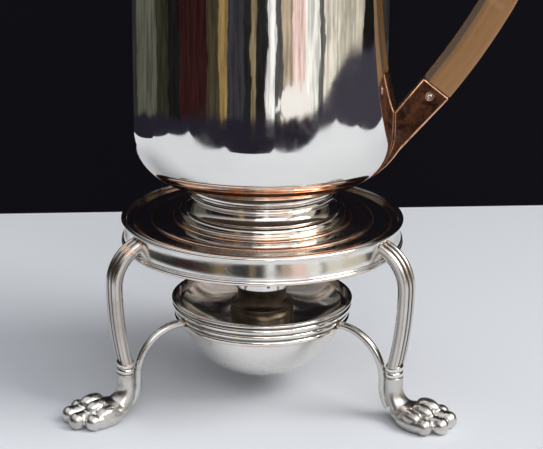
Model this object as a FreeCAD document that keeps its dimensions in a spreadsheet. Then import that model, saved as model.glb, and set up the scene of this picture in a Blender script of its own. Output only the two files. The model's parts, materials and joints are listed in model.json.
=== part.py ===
import FreeCAD, Part
import math
import os
from types import SimpleNamespace

import Sketcher

# A silver-plated coffee pot with a fruitwood handle, on a three-legged stand with a spirit lamp.
# The origin is on the pot's axis at table level, +Z is up and the handle points along +X.

# Driving dimensions: millimetres, degrees for angles, and shares of the body's height for the handle's bow.
SIZES = {
    # Fits
    "solder_gap": 0.1,
    "seat_gap": 0.3,
    "pin_clearance": 0.05,
    # Stand: apron band, its moulding wires and the stepped plate
    "apron_radius": 58.4,
    "apron_wall": 1.2,
    "apron_height": 10.1,
    "wire_proud": 0.8,
    "rim_wire_height": 1.2,
    "lower_wire_height": 2.7,
    "seat_height": 78.5,
    "seat_above_apron": 1.5,
    "plate_wall": 1.2,
    "plate_step_drop": 0.75,
    "plate_step_run": 0.7,
    "inner_step_radius": 45.6,
    "outer_step_radius": 53.2,
    "seat_margin": 1.9,
    "heat_hole_radius": 27.5,
    # Legs, ankle collars and paws
    "leg_angle": -21.5,
    "leg_width": 9.2,
    "leg_thickness": 5.2,
    "leg_reed_rise": 0.7,
    "leg_wire_gap": 0.6,
    "leg_knee_out": 9.8,
    "leg_knee_drop": 15.6,
    "leg_trim": 0.8,
    "leg_foot_out": 5.8,
    "collar_top": 24.0,
    "collar_height": 5.0,
    "collar_radius": 4.6,
    "collar_bead": 1.2,
    "collar_core": 3.7,
    "ankle_radius": 4.2,
    "ankle_straight": 5.5,
    "paw_bend": 9.0,
    "paw_reach": 27.6,
    "hand_length": 19.0,
    "hand_width": 15.4,
    "hand_height": 11.0,
    "toe_length": 16.4,
    "toe_width": 5.6,
    "toe_height": 7.4,
    "toe_fan_angle": 14.0,
    "toe_pitch": 4.7,
    "toe_setback": 5.0,
    "knuckle_radius": 2.7,
    "knuckle_height": 6.8,
    "sole_flat": 0.3,
    # Struts and lamp ring
    "strut_radius": 1.7,
    "strut_stub": 1.0,
    "strut_tail_angle": 38.0,
    "ring_wall": 2.4,
    "ring_height": 5.3,
    "ring_top": 37.9,
    # Spirit lamp
    "lamp_bowl_radius": 34.6,
    "lamp_bowl_depth": 30.2,
    "lamp_bowl_waist": 25.2,
    "lamp_bowl_waist_rise": 9.5,
    "lamp_bowl_side_bend": 31.0,
    "lamp_wall": 0.8,
    "lamp_clearance": 0.4,
    "lamp_rim_height": 4.3,
    "lamp_rim_proud": 1.2,
    "lamp_dish_drop": 6.5,
    "lamp_dish_bend": 30.0,
    "neck_radius": 10.4,
    "neck_foot_radius": 13.4,
    "neck_foot_height": 6.4,
    "neck_height": 14.8,
    "gallery_radius": 12.6,
    "gallery_height": 2.7,
    "gallery_wall": 1.0,
    "gallery_hole": 1.3,
    "wick_radius": 4.2,
    "wick_tube_wall": 0.8,
    "wick_tube_above": 7.2,
    "wick_above": 2.0,
    "wick_length": 36.0,
    "snuffer_radius": 8.2,
    "snuffer_height": 10.0,
    "snuffer_wall": 0.9,
    "snuffer_knob_radius": 2.6,
    # Pot body, foot and mouth
    "body_radius": 54.8,
    "body_wall": 1.1,
    "body_bulge": 0.2,
    "bulge_rise": 19.5,
    "bulge_fade": 13.0,
    "body_edge_radius": 44.5,
    "body_height": 160.5,
    "bottom_wall": 1.2,
    "foot_height": 19.0,
    "foot_neck_radius": 29.8,
    "foot_reed_radius": 31.0,
    "foot_flare_radius": 32.3,
    "foot_base_radius": 35.3,
    "foot_wire_height": 3.9,
    "foot_bore_radius": 28.2,
    "mouth_wire_height": 3.1,
    "mouth_wire_proud": 1.7,
    # Spout
    "spout_base_height": 44.0,
    "spout_base_width": 26.0,
    "spout_centre_drop": 36.0,
    "spout_bend_out": 13.0,
    "spout_bend_width": 17.0,
    "spout_bend_height": 24.0,
    "spout_bend_drop": 27.0,
    "spout_tip_out": 26.0,
    "spout_tip_length": 15.0,
    "spout_tip_width": 10.0,
    "spout_tip_drop": 6.0,
    "spout_wall": 1.0,
    "strainer_hole": 3.2,
    "strainer_pitch": 5.0,
    # Handle
    "grip_width": 13.0,
    "grip_thickness": 11.0,
    "grip_bevel": 3.0,
    "grip_reach": 47.3,
    "grip_apex_share": 0.6685,
    "grip_top_drop": 18.2,
    "grip_middle_share": 0.436,
    "grip_middle_angle": 28.0,
    "grip_low_share": 1.664,
    "grip_low_angle": 9.0,
    "tenon_length": 9.0,
    "tenon_wall": 1.4,
    "tenon_clearance": 0.1,
    "boot_knee_out": 2.2,
    "boot_knee_rise": 12.3,
    "boot_tip_out": 0.9,
    "boot_flare": 2.5,
    "boot_crotch_drop": 19.0,
    "pin_radius": 1.0,
    "pin_back": 4.5,
    # Lid, hinge and finial
    "lid_flange_wall": 1.7,
    "lid_flange_width": 4.1,
    "lid_wall": 1.0,
    "lid_rise": 20.4,
    "lid_bend": 78.0,
    "lid_boss_radius": 7.5,
    "bezel_wall": 0.8,
    "bezel_depth": 6.4,
    "bezel_clearance": 0.5,
    "hinge_barrel": 2.4,
    "hinge_out": 3.4,
    "hinge_rise": 1.3,
    "hinge_pin_radius": 0.9,
    "hinge_knuckle": 3.6,
    "hinge_side_gap": 0.12,
    "hinge_leaf_drop": 9.5,
    "hinge_leaf_wall": 1.6,
    "finial_plate_height": 2.4,
    "finial_knob_radius": 9.0,
    "finial_knob_height": 14.0,
    "finial_stud_radius": 1.8,
    "finial_button_radius": 3.4,
    "finial_button_height": 3.6,
    "finial_nut_radius": 4.0,
    "finial_nut_height": 3.0,
}

LEG_NAMES = ("right", "rear", "left")
LEG_REEDS = 3
TOES = 4
GALLERY_HOLES = 8
STRAINER_ROWS = (3, 4, 5, 4, 3)
FULL_TURN = 360.0
TRIANGLE_ANGLE = 60.0

doc = FreeCAD.newDocument("CoffeePot")


class Size:
    """A number together with the sheet formula that gives it."""

    def __init__(self, number, formula):
        self.number = number
        self.formula = formula

    def __add__(self, other):
        other = as_size(other)
        return Size(self.number + other.number, f"({self.formula} + {other.formula})")

    def __sub__(self, other):
        other = as_size(other)
        return Size(self.number - other.number, f"({self.formula} - {other.formula})")

    def __mul__(self, other):
        other = as_size(other)
        return Size(self.number * other.number, f"({self.formula} * {other.formula})")

    def __truediv__(self, other):
        other = as_size(other)
        return Size(self.number / other.number, f"({self.formula} / {other.formula})")

    def __radd__(self, other):
        return as_size(other) + self

    def __rsub__(self, other):
        return as_size(other) - self

    def __rmul__(self, other):
        return as_size(other) * self

    def __neg__(self):
        return 0 - self


def as_size(value):
    """Take a plain number as a size of its own."""
    if isinstance(value, Size):
        return value
    return Size(value, repr(float(value)))


def cosine(angle):
    return Size(math.cos(math.radians(angle.number)), f"cos({angle.formula})")


def sine(angle):
    return Size(math.sin(math.radians(angle.number)), f"sin({angle.formula})")


def tangent_radius(across, along):
    """Radius of the arc that leaves a line squarely and ends this far across and along."""
    return (across * across + along * along) / (2 * across)


def make_sheet():
    """Write the driving dimensions to the sheet and return them by name."""
    sheet = doc.addObject("Spreadsheet::Sheet", "Sizes")
    named = {}
    for row, (name, number) in enumerate(SIZES.items(), start=1):
        sheet.set(f"A{row}", name)
        sheet.set(f"B{row}", str(number))
        sheet.setAlias(f"B{row}", name)
        named[name] = Size(number, f"Sizes.{name}")
    doc.recompute()
    return SimpleNamespace(**named)


dim = make_sheet()
nodes = []


def bind(thing, **sizes):
    """Bind properties of an object to the sheet."""
    for name, value in sizes.items():
        thing.setExpression(name, as_size(value).formula)


def place(thing, x=0, y=0, z=0, turn=None, axis=(0, 0, 1)):
    """Bind an object's place, and its turn about an axis through that place."""
    thing.Placement = FreeCAD.Placement(
        FreeCAD.Vector(as_size(x).number, as_size(y).number, as_size(z).number),
        FreeCAD.Rotation(FreeCAD.Vector(*axis), as_size(turn or 0).number),
    )
    for key, value in (("x", x), ("y", y), ("z", z)):
        if isinstance(value, Size):
            thing.setExpression(f"Placement.Base.{key}", value.formula)
    if isinstance(turn, Size):
        thing.setExpression("Placement.Rotation.Angle", turn.formula)
    return thing


def keep(thing, label):
    """Name a finished sub-part, which gets a file of its own."""
    thing.Label = label
    nodes.append(thing)
    return thing


def primitive(kind, name, **sizes):
    """Add a primitive solid with bound sizes."""
    solid = doc.addObject(f"Part::{kind}", name)
    bind(solid, **sizes)
    return solid


def fused(name, solids):
    union = doc.addObject("Part::MultiFuse", name)
    union.Shapes = solids
    return union


def cut(name, base, tool):
    difference = doc.addObject("Part::Cut", name)
    difference.Base = base
    difference.Tool = tool
    return difference


def add_body(name):
    return doc.addObject("PartDesign::Body", name)


def add_sketch(body, name, plane="XZ_Plane", offset=None):
    """Attach a sketch to one of the body's own origin planes."""
    sketch = body.newObject("Sketcher::SketchObject", name)
    support = next(item for item in body.Origin.OriginFeatures if item.Role == plane)
    sketch.AttachmentSupport = (support, [""])
    sketch.MapMode = "FlatFace"
    if offset is not None:
        sketch.AttachmentOffset = FreeCAD.Placement(
            FreeCAD.Vector(0, 0, offset.number), FreeCAD.Rotation()
        )
        sketch.setExpression("AttachmentOffset.Base.z", offset.formula)
    return sketch


def arc_through(start, end, bow):
    """Arc of a signed radius between two points: positive bulges to the right of the way along."""
    way = end - start
    half = way.Length / 2
    side = FreeCAD.Vector(way.y, -way.x, 0).normalize()
    radius = abs(bow)
    depth = radius - math.sqrt(radius * radius - half * half)
    middle = (start + end) * 0.5 + side * math.copysign(depth, bow)
    return Part.Arc(start, middle, end)


def fix_point(sketch, geometry, spot, corner):
    """Bind one end of an edge to its place on the sketch."""
    for kind, value, axis in (("DistanceX", corner[0], -2), ("DistanceY", corner[1], -1)):
        value = as_size(value)
        if value.number == 0:
            sketch.addConstraint(Sketcher.Constraint("PointOnObject", geometry, spot, axis))
        else:
            index = sketch.addConstraint(
                Sketcher.Constraint(kind, -1, 1, geometry, spot, value.number)
            )
            sketch.setExpression(f"Constraints[{index}]", value.formula)


def draw(sketch, corners, closed=True):
    """Draw edges through bound corners: (x, y), or (x, y, bow) where an arc arrives at the corner."""
    points = [FreeCAD.Vector(as_size(c[0]).number, as_size(c[1]).number, 0) for c in corners]
    edges = []
    first = 0 if closed else 1
    for index in range(first, len(corners)):
        start = points[index - 1]
        end = points[index]
        if len(corners[index]) == 2:
            geometry = sketch.addGeometry(Part.LineSegment(start, end))
            edges.append((geometry, 1, 2))
            continue
        bow = as_size(corners[index][2])
        geometry = sketch.addGeometry(arc_through(start, end, bow.number))
        edges.append((geometry, 1, 2) if bow.number > 0 else (geometry, 2, 1))
        size = bow if bow.number > 0 else -bow
        rule = sketch.addConstraint(Sketcher.Constraint("Radius", geometry, size.number))
        sketch.setExpression(f"Constraints[{rule}]", size.formula)
    if not closed:
        fix_point(sketch, edges[0][0], edges[0][1], corners[0])
    for index, (geometry, _, finish) in enumerate(edges):
        fix_point(sketch, geometry, finish, corners[first + index])
        following = edges[(index + 1) % len(edges)]
        if closed or index + 1 < len(edges):
            sketch.addConstraint(
                Sketcher.Constraint("Coincident", geometry, finish, following[0], following[1])
            )


def spun(name, corners):
    """Turn a closed outline, radius against height, about the upright axis."""
    body = add_body(name)
    sketch = add_sketch(body, f"{name}_outline")
    draw(sketch, corners)
    turn = body.newObject("PartDesign::Revolution", f"{name}_turn")
    turn.Profile = sketch
    turn.ReferenceAxis = (sketch, ["V_Axis"])
    turn.Angle = FULL_TURN
    return body


def slab(name, corners, thickness):
    """Thicken a closed outline in the handle's plane evenly to both sides."""
    body = add_body(name)
    sketch = add_sketch(body, f"{name}_outline")
    draw(sketch, corners)
    pad = body.newObject("PartDesign::Pad", f"{name}_pad")
    pad.Profile = sketch
    pad.SideType = "Symmetric"
    bind(pad, Length=thickness)
    return body


def swept(name, path, section, plane_offset):
    """Sweep a section, drawn across the start of the path, along a path in the handle's plane."""
    body = add_body(name)
    route = add_sketch(body, f"{name}_path")
    draw(route, path, closed=False)
    profile = add_sketch(body, f"{name}_section", "YZ_Plane", plane_offset)
    section(profile)
    pipe = body.newObject("PartDesign::AdditivePipe", f"{name}_pipe")
    pipe.Profile = profile
    pipe.Spine = route
    return body


def round_section(centre, radius):
    """Section function for a round rod at this height."""

    def draw_round(sketch):
        disc = Part.Circle(
            FreeCAD.Vector(0, centre.number, 0), FreeCAD.Vector(0, 0, 1), radius.number
        )
        circle = sketch.addGeometry(disc)
        fix_point(sketch, circle, 3, (0, centre))
        rule = sketch.addConstraint(Sketcher.Constraint("Radius", circle, radius.number))
        sketch.setExpression(f"Constraints[{rule}]", radius.formula)

    return draw_round


# Heights and radii that several pieces share
apron_top = dim.seat_height - dim.seat_above_apron
apron_bottom = apron_top - dim.apron_height
apron_bore = dim.apron_radius - dim.apron_wall
wire_radius = dim.apron_radius + dim.wire_proud
leg_axis_radius = dim.apron_radius + dim.leg_foot_out
paw_root = leg_axis_radius + dim.paw_bend
collar_bottom = dim.collar_top - dim.collar_height
ring_bore = dim.lamp_bowl_radius + dim.lamp_clearance
ring_radius = ring_bore + dim.ring_wall
ring_bottom = dim.ring_top - dim.ring_height
lamp_seat = dim.ring_top + dim.solder_gap
body_bottom = dim.seat_height + dim.foot_height
body_top = body_bottom + dim.body_height
bulge_radius = dim.body_radius + dim.body_bulge
bulge_height = body_bottom + dim.bulge_rise
straight_start = bulge_height + dim.bulge_fade
leg_angles = [dim.leg_angle + FULL_TURN / len(LEG_NAMES) * index for index in range(len(LEG_NAMES))]


def make_apron():
    keep(
        spun(
            "stand_apron",
            [
                (apron_bore, apron_bottom),
                (dim.apron_radius, apron_bottom),
                (dim.apron_radius, apron_top),
                (apron_bore, apron_top),
            ],
        ),
        "stand_apron",
    )


def make_apron_wires():
    low = apron_top + dim.solder_gap / 2
    high = low + dim.rim_wire_height
    shoulder = wire_radius - dim.rim_wire_height / 4
    keep(
        spun(
            "stand_rim_wire",
            [
                (apron_bore, low),
                (shoulder, low),
                (shoulder, high, dim.rim_wire_height * 0.56),
                (apron_bore + dim.rim_wire_height / 2, high),
            ],
        ),
        "stand_rim_wire",
    )
    inner = dim.apron_radius + dim.solder_gap
    shoulder = dim.apron_radius + dim.wire_proud / 2
    split = apron_bottom + dim.lower_wire_height * 0.7
    top = apron_bottom + dim.lower_wire_height
    keep(
        spun(
            "stand_lower_wire",
            [
                (inner, apron_bottom),
                (shoulder, apron_bottom),
                (shoulder, split, dim.lower_wire_height * 0.5),
                (shoulder, top, dim.lower_wire_height * 0.25),
                (inner, top),
            ],
        ),
        "stand_lower_wire",
    )


def make_plate():
    """Stepped disc: three risers lead from the seat down to the channel inside the rim."""
    edge = apron_bore - dim.solder_gap
    seat_edge = dim.foot_base_radius + dim.seat_margin
    top = [(dim.heat_hole_radius, dim.seat_height)]
    level = dim.seat_height
    for radius in (seat_edge, dim.inner_step_radius, dim.outer_step_radius):
        top.append((radius, level))
        level = level - dim.plate_step_drop
        top.append((radius + dim.plate_step_run, level))
    top.append((edge, level))
    under = [(radius, height - dim.plate_wall) for radius, height in reversed(top)]
    keep(spun("stand_plate", top + under), "stand_plate")


leg_height = apron_top - dim.apron_height + dim.lower_wire_height + dim.leg_wire_gap + dim.leg_thickness / 2


def leg_section(sketch):
    """Flat-backed strap with a row of reeds along its outer face."""
    centre = leg_height
    half = dim.leg_width / 2
    back = centre - dim.leg_thickness / 2
    front = centre + dim.leg_thickness / 2 - dim.leg_reed_rise
    reed = dim.leg_width / LEG_REEDS
    bow = (reed * reed / 4 + dim.leg_reed_rise * dim.leg_reed_rise) / (2 * dim.leg_reed_rise)
    corners = [(-half, back), (half, back), (half, front)]
    for index in range(LEG_REEDS - 1):
        corners.append((half - (index + 1) * reed, front, bow))
    corners.append((-half, front, bow))
    draw(sketch, corners)


def upright_bend(out, drop):
    """Radius of the arc that is upright at one end and runs out and down by these distances."""
    return (out * out + drop * drop) / (2 * out)


def make_leg(name, angle):
    """Strap leg: out of the apron, over the knee and in a slow curve down to its collar."""
    label = f"leg_{name}"
    start = dim.apron_radius + dim.solder_gap
    knee = (dim.apron_radius + dim.leg_knee_out, leg_height - dim.leg_knee_drop)
    ankle = (leg_axis_radius, dim.collar_top - dim.leg_trim)
    path = [
        (start, leg_height),
        (*knee, -upright_bend(knee[0] - start, leg_height - knee[1])),
        (*ankle, -upright_bend(knee[0] - ankle[0], knee[1] - ankle[1])),
    ]
    strap = swept(f"{label}_strap", path, leg_section, start)
    depth = dim.leg_thickness
    saw = primitive("Box", f"{label}_saw", Length=4 * depth, Width=2 * dim.leg_width, Height=depth)
    place(saw, x=leg_axis_radius - 2 * depth, y=-dim.leg_width, z=dim.collar_top + dim.seat_gap - depth)
    keep(place(cut(label, strap, saw), turn=angle), label)


def make_collar(name, angle):
    """Two round beads on a short core."""
    label = f"collar_{name}"
    core = primitive("Cylinder", f"{label}_core", Radius=dim.collar_core, Height=dim.collar_height)
    place(core, x=leg_axis_radius, z=collar_bottom)
    beads = []
    for share, title in ((0.25, "lower"), (0.75, "upper")):
        bead = primitive(
            "Torus",
            f"{label}_{title}",
            Radius1=dim.collar_radius - dim.collar_bead,
            Radius2=dim.collar_bead,
        )
        beads.append(place(bead, x=leg_axis_radius, z=collar_bottom + dim.collar_height * share))
    keep(place(fused(label, [core] + beads), turn=angle), label)


def make_paw(name, angle):
    """Ankle bent outwards into a hand with a row of long toes, cut flat underneath."""
    label = f"paw_{name}"
    ankle_top = collar_bottom - dim.solder_gap
    ankle = primitive("Cylinder", f"{label}_ankle", Radius=dim.ankle_radius, Height=dim.ankle_straight)
    place(ankle, x=leg_axis_radius, z=ankle_top - dim.ankle_straight)
    heel = primitive(
        "Torus", f"{label}_heel", Radius1=dim.paw_bend, Radius2=dim.ankle_radius, Angle3=90
    )
    place(heel, x=paw_root, z=ankle_top - dim.ankle_straight)
    heel.Placement.Rotation = FreeCAD.Rotation(
        FreeCAD.Vector(-1, 0, 0), FreeCAD.Vector(0, 0, -1), FreeCAD.Vector(0, -1, 0), "XYZ"
    )
    hand = primitive(
        "Ellipsoid",
        f"{label}_hand",
        Radius1=dim.hand_height / 2,
        Radius2=dim.hand_length / 2,
        Radius3=dim.hand_width / 2,
    )
    place(hand, x=paw_root + dim.hand_length * 0.3, z=dim.hand_height / 2 - dim.sole_flat)
    solids = [ankle, heel, hand]
    for index in range(TOES):
        side = index / (TOES - 1) - 0.5
        swing = dim.toe_fan_angle * side
        across = dim.toe_pitch * (TOES - 1) * side
        setback = dim.toe_setback if abs(side) == 0.5 else as_size(0)
        toe_x = leg_axis_radius + dim.paw_reach - dim.toe_length / 2 - setback
        toe = primitive(
            "Ellipsoid",
            f"{label}_toe_{index}",
            Radius1=dim.toe_height / 2,
            Radius2=dim.toe_length / 2,
            Radius3=dim.toe_width / 2,
        )
        toe_z = dim.toe_height / 2 - dim.sole_flat
        place(toe, x=toe_x, y=across, z=toe_z, turn=swing)
        knuckle = primitive("Sphere", f"{label}_knuckle_{index}", Radius=dim.knuckle_radius)
        place(knuckle, x=toe_x, y=across, z=dim.knuckle_height)
        solids += [toe, knuckle]
    whole = fused(f"{label}_whole", solids)
    depth = dim.hand_height
    floor = primitive(
        "Box", f"{label}_floor", Length=dim.paw_reach * 2, Width=dim.hand_width * 4, Height=depth
    )
    place(floor, x=leg_axis_radius - dim.paw_bend, y=-2 * dim.hand_width, z=-depth)
    keep(place(cut(label, whole, floor), turn=angle), label)


def make_strut(name, angle):
    """Round rod: out of the lamp ring, over a quarter turn, down the ankle and round under the heel."""
    start = ring_radius + dim.solder_gap
    drop_radius = leg_axis_radius - dim.collar_radius - dim.solder_gap - dim.strut_radius
    bend = drop_radius - start - dim.strut_stub
    height = dim.ring_top - dim.ring_height * 0.36
    heel_bend = paw_root - drop_radius
    heel_height = collar_bottom - dim.solder_gap - dim.ankle_straight
    path = [
        (start, height),
        (start + dim.strut_stub, height),
        (drop_radius, height - bend, -bend),
        (drop_radius, heel_height),
        (
            paw_root - heel_bend * cosine(dim.strut_tail_angle),
            heel_height - heel_bend * sine(dim.strut_tail_angle),
            heel_bend,
        ),
    ]
    strut = swept(f"strut_{name}", path, round_section(height, dim.strut_radius), start)
    keep(place(strut, turn=angle), f"strut_{name}")


def make_lamp_ring():
    """Ring with two reeds round its outside."""
    reed = dim.ring_height / 2
    shoulder = ring_radius - reed / 5
    keep(
        spun(
            "lamp_ring",
            [
                (ring_bore, ring_bottom),
                (shoulder, ring_bottom),
                (shoulder, ring_bottom + reed, reed * 0.725),
                (shoulder, dim.ring_top, reed * 0.725),
                (ring_bore, dim.ring_top),
            ],
        ),
        "lamp_ring",
    )


def make_lamp_bowl():
    """Bowl of two tangent-looking arcs, with an open top under the rim."""
    top = lamp_seat
    bottom = top - dim.lamp_bowl_depth
    waist = bottom + dim.lamp_bowl_waist_rise
    inner_radius = dim.lamp_bowl_radius - dim.lamp_wall
    inner_waist = dim.lamp_bowl_waist - dim.lamp_wall * 0.9
    inner_waist_height = waist + dim.lamp_wall * 0.6
    inner_bottom = bottom + dim.lamp_wall
    outer_base = tangent_radius(waist - bottom, dim.lamp_bowl_waist)
    inner_base = tangent_radius(inner_waist_height - inner_bottom, inner_waist)
    keep(
        spun(
            "lamp_bowl",
            [
                (0, bottom),
                (dim.lamp_bowl_waist, waist, outer_base),
                (dim.lamp_bowl_radius, top, dim.lamp_bowl_side_bend),
                (inner_radius, top),
                (inner_waist, inner_waist_height, -dim.lamp_bowl_side_bend),
                (0, inner_bottom, -inner_base),
            ],
        ),
        "lamp_bowl",
    )


def make_lamp_rim():
    """Reeded lip that hangs the lamp in its ring, with a ledge for the dished cover."""
    low = lamp_seat + dim.solder_gap / 2
    high = low + dim.lamp_rim_height
    reed = dim.lamp_rim_height / 2
    shoulder = ring_radius + dim.lamp_rim_proud - reed / 5
    ledge = low + dim.lamp_rim_height * 0.3
    lip_bore = shoulder - dim.lamp_rim_height * 0.28
    keep(
        spun(
            "lamp_rim",
            [
                (dim.lamp_bowl_radius - dim.lamp_wall, low),
                (shoulder, low),
                (shoulder, low + reed, reed * 0.725),
                (shoulder, high, reed * 0.725),
                (lip_bore, high),
                (lip_bore, ledge),
                (dim.lamp_bowl_radius - dim.lamp_wall, ledge),
            ],
        ),
        "lamp_rim",
    )
    return ledge, lip_bore


def make_lamp_top(ledge, lip_bore):
    """Dished cover from the rim's ledge down to the burner."""
    low = ledge + dim.solder_gap / 2
    high = low + dim.lamp_wall
    brim = dim.lamp_bowl_radius - dim.lamp_wall
    hole = dim.neck_foot_radius + dim.solder_gap
    keep(
        spun(
            "lamp_top",
            [
                (lip_bore - dim.solder_gap, low),
                (lip_bore - dim.solder_gap, high),
                (brim, high),
                (hole, high - dim.lamp_dish_drop, -dim.lamp_dish_bend),
                (hole, low - dim.lamp_dish_drop),
                (brim, low, dim.lamp_dish_bend),
            ],
        ),
        "lamp_top",
    )
    return low - dim.lamp_dish_drop


def make_burner(foot):
    """Stepped neck, pierced gallery, wick tube and wick."""
    tube_radius = dim.wick_radius + dim.solder_gap + dim.wick_tube_wall
    bore = tube_radius + dim.solder_gap
    step = foot + dim.neck_foot_height
    step_rise = dim.neck_foot_radius - dim.neck_radius
    neck_top = foot + dim.neck_height
    keep(
        spun(
            "burner_neck",
            [
                (bore, foot),
                (dim.neck_foot_radius, foot),
                (dim.neck_foot_radius, step),
                (dim.neck_radius, step + step_rise * 0.75, step_rise),
                (dim.neck_radius, neck_top),
                (bore, neck_top),
            ],
        ),
        "burner_neck",
    )
    low = neck_top + dim.solder_gap
    floor = low + dim.gallery_wall
    gallery = spun(
        "burner_gallery_ring",
        [
            (bore, low),
            (dim.gallery_radius, low),
            (dim.gallery_radius, low + dim.gallery_height),
            (dim.gallery_radius - dim.gallery_wall, low + dim.gallery_height),
            (dim.gallery_radius - dim.gallery_wall, floor),
            (bore, floor),
        ],
    )
    holes = []
    hole_height = (floor + low + dim.gallery_height) / 2
    for index in range(GALLERY_HOLES // 2):
        hole = primitive(
            "Box",
            f"burner_gallery_hole_{index}",
            Length=dim.gallery_radius * 3,
            Width=dim.gallery_hole,
            Height=dim.gallery_hole / 1.3,
        )
        turn = as_size(FULL_TURN / GALLERY_HOLES * (index + 0.5))
        reach = dim.gallery_radius * 1.5
        half = dim.gallery_hole / 2
        place(
            hole,
            x=half * sine(turn) - reach * cosine(turn),
            y=-half * cosine(turn) - reach * sine(turn),
            z=hole_height - dim.gallery_hole / 2.6,
            turn=turn,
        )
        holes.append(hole)
    keep(cut("burner_gallery", gallery, fused("burner_gallery_holes", holes)), "burner_gallery")
    tube_top = floor + dim.wick_tube_above
    keep(
        spun(
            "wick_tube",
            [
                (dim.wick_radius + dim.solder_gap, foot),
                (tube_radius, foot),
                (tube_radius, tube_top),
                (dim.wick_radius + dim.solder_gap, tube_top),
            ],
        ),
        "wick_tube",
    )
    wick_top = tube_top + dim.wick_above
    wick = primitive("Cylinder", "wick", Radius=dim.wick_radius, Height=dim.wick_length)
    keep(place(wick, z=wick_top - dim.wick_length), "wick")
    return floor, wick_top


def make_snuffer(floor):
    """Thimble that stands in the gallery over the wick, with a turned knob."""
    low = floor + dim.seat_gap
    shoulder = low + dim.snuffer_height * 0.8
    crown = low + dim.snuffer_height + dim.snuffer_wall
    top_radius = dim.snuffer_knob_radius
    rise = crown - shoulder
    run = dim.snuffer_radius - top_radius
    keep(
        spun(
            "snuffer_cap",
            [
                (dim.snuffer_radius - dim.snuffer_wall, low),
                (dim.snuffer_radius, low),
                (dim.snuffer_radius, shoulder),
                (top_radius, crown, tangent_radius(run, rise) * 1.3),
                (0, crown),
                (0, crown - dim.snuffer_wall),
                (top_radius, crown - dim.snuffer_wall),
                (
                    dim.snuffer_radius - dim.snuffer_wall,
                    shoulder,
                    tangent_radius(run - dim.snuffer_wall, rise - dim.snuffer_wall) * -1.5,
                ),
            ],
        ),
        "snuffer_cap",
    )
    foot = crown + dim.solder_gap / 2
    knob = dim.snuffer_knob_radius
    keep(
        spun(
            "snuffer_knob",
            [
                (0, foot),
                (knob * 0.6, foot),
                (knob * 0.45, foot + knob * 0.6, -2 * knob),
                (knob, foot + knob * 1.4, knob * 0.9),
                (knob * 0.3, foot + knob * 2.2, knob * 0.9),
                (0, foot + knob * 2.2),
            ],
        ),
        "snuffer_knob",
    )


def pot_outside(offset):
    """Outer outline of the pot's body, from its bottom edge to the mouth, grown by an offset."""
    edge = dim.body_edge_radius + offset
    low = body_bottom - offset
    widest = bulge_radius + offset
    return [
        (edge, low),
        (widest, bulge_height, tangent_radius(widest - edge, bulge_height - low)),
        (dim.body_radius + offset, straight_start),
        (dim.body_radius + offset, body_top),
    ]


def make_envelope():
    """Solid of the pot's outside plus the solder gap, which trims what is fixed to it."""
    outline = pot_outside(dim.solder_gap)
    return spun(
        "pot_envelope",
        [(0, body_bottom - dim.solder_gap)] + outline + [(0, body_top)],
    )


def make_pot_body():
    """Shell with a rounded bottom edge, pierced with strainer holes on the spout's side."""
    wall = dim.body_wall
    lip = dim.body_edge_radius - wall
    lip_top = body_bottom + dim.bottom_wall
    inner_widest = bulge_radius - wall
    shell = spun(
        "pot_body",
        pot_outside(as_size(0))
        + [
            (dim.body_radius - wall, body_top),
            (dim.body_radius - wall, straight_start),
            (inner_widest, bulge_height),
            (lip, lip_top, -tangent_radius(inner_widest - lip, bulge_height - lip_top)),
            (lip, body_bottom),
        ],
    )
    sketch = add_sketch(shell, "strainer_holes", "YZ_Plane")
    row_rise = dim.strainer_pitch * sine(as_size(TRIANGLE_ANGLE))
    middle = (len(STRAINER_ROWS) - 1) / 2
    for row, count in enumerate(STRAINER_ROWS):
        height = body_top - dim.spout_centre_drop + row_rise * (row - middle)
        for column in range(count):
            across = dim.strainer_pitch * (column - (count - 1) / 2)
            centre = FreeCAD.Vector(across.number, height.number, 0)
            radius = dim.strainer_hole / 2
            hole = sketch.addGeometry(
                Part.Circle(centre, FreeCAD.Vector(0, 0, 1), radius.number)
            )
            fix_point(sketch, hole, 3, (across, height))
            rule = sketch.addConstraint(Sketcher.Constraint("Radius", hole, radius.number))
            sketch.setExpression(f"Constraints[{rule}]", radius.formula)
    pocket = shell.newObject("PartDesign::Pocket", "strainer_pocket")
    pocket.Profile = sketch
    bind(pocket, Length=dim.body_radius + dim.body_wall)
    keep(shell, "pot_body")


def make_pot_bottom():
    radius = dim.body_edge_radius - dim.body_wall - dim.solder_gap
    disc = primitive("Cylinder", "pot_bottom", Radius=radius, Height=dim.bottom_wall)
    keep(place(disc, z=body_bottom), "pot_bottom")


def make_pot_foot():
    """Spool foot: a cove, a reed and a flare, with a base moulding round its lower end."""
    low = dim.seat_height
    high = body_bottom - dim.solder_gap
    unit = (high - low) / 5
    wire_top = low + dim.foot_wire_height
    wire_bore = dim.foot_flare_radius + dim.solder_gap
    keep(
        spun(
            "pot_foot",
            [
                (dim.foot_bore_radius, low),
                (dim.foot_flare_radius, low),
                (dim.foot_flare_radius, wire_top + dim.solder_gap),
                (dim.foot_neck_radius, low + 2 * unit, -2 * unit),
                (dim.foot_neck_radius, low + 2.2 * unit),
                (dim.foot_neck_radius, low + 3.2 * unit, unit * 0.8),
                (dim.foot_reed_radius, low + 3.3 * unit),
                (dim.foot_reed_radius, low + 3.6 * unit),
                (dim.foot_neck_radius - unit / 5, high, -3 * unit),
                (dim.foot_bore_radius, high),
            ],
        ),
        "pot_foot",
    )
    keep(
        spun(
            "foot_wire",
            [
                (wire_bore, low),
                (dim.foot_base_radius - unit / 5, low),
                (wire_bore + unit / 5, wire_top, dim.foot_wire_height * 0.62),
                (wire_bore, wire_top),
            ],
        ),
        "foot_wire",
    )


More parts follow.
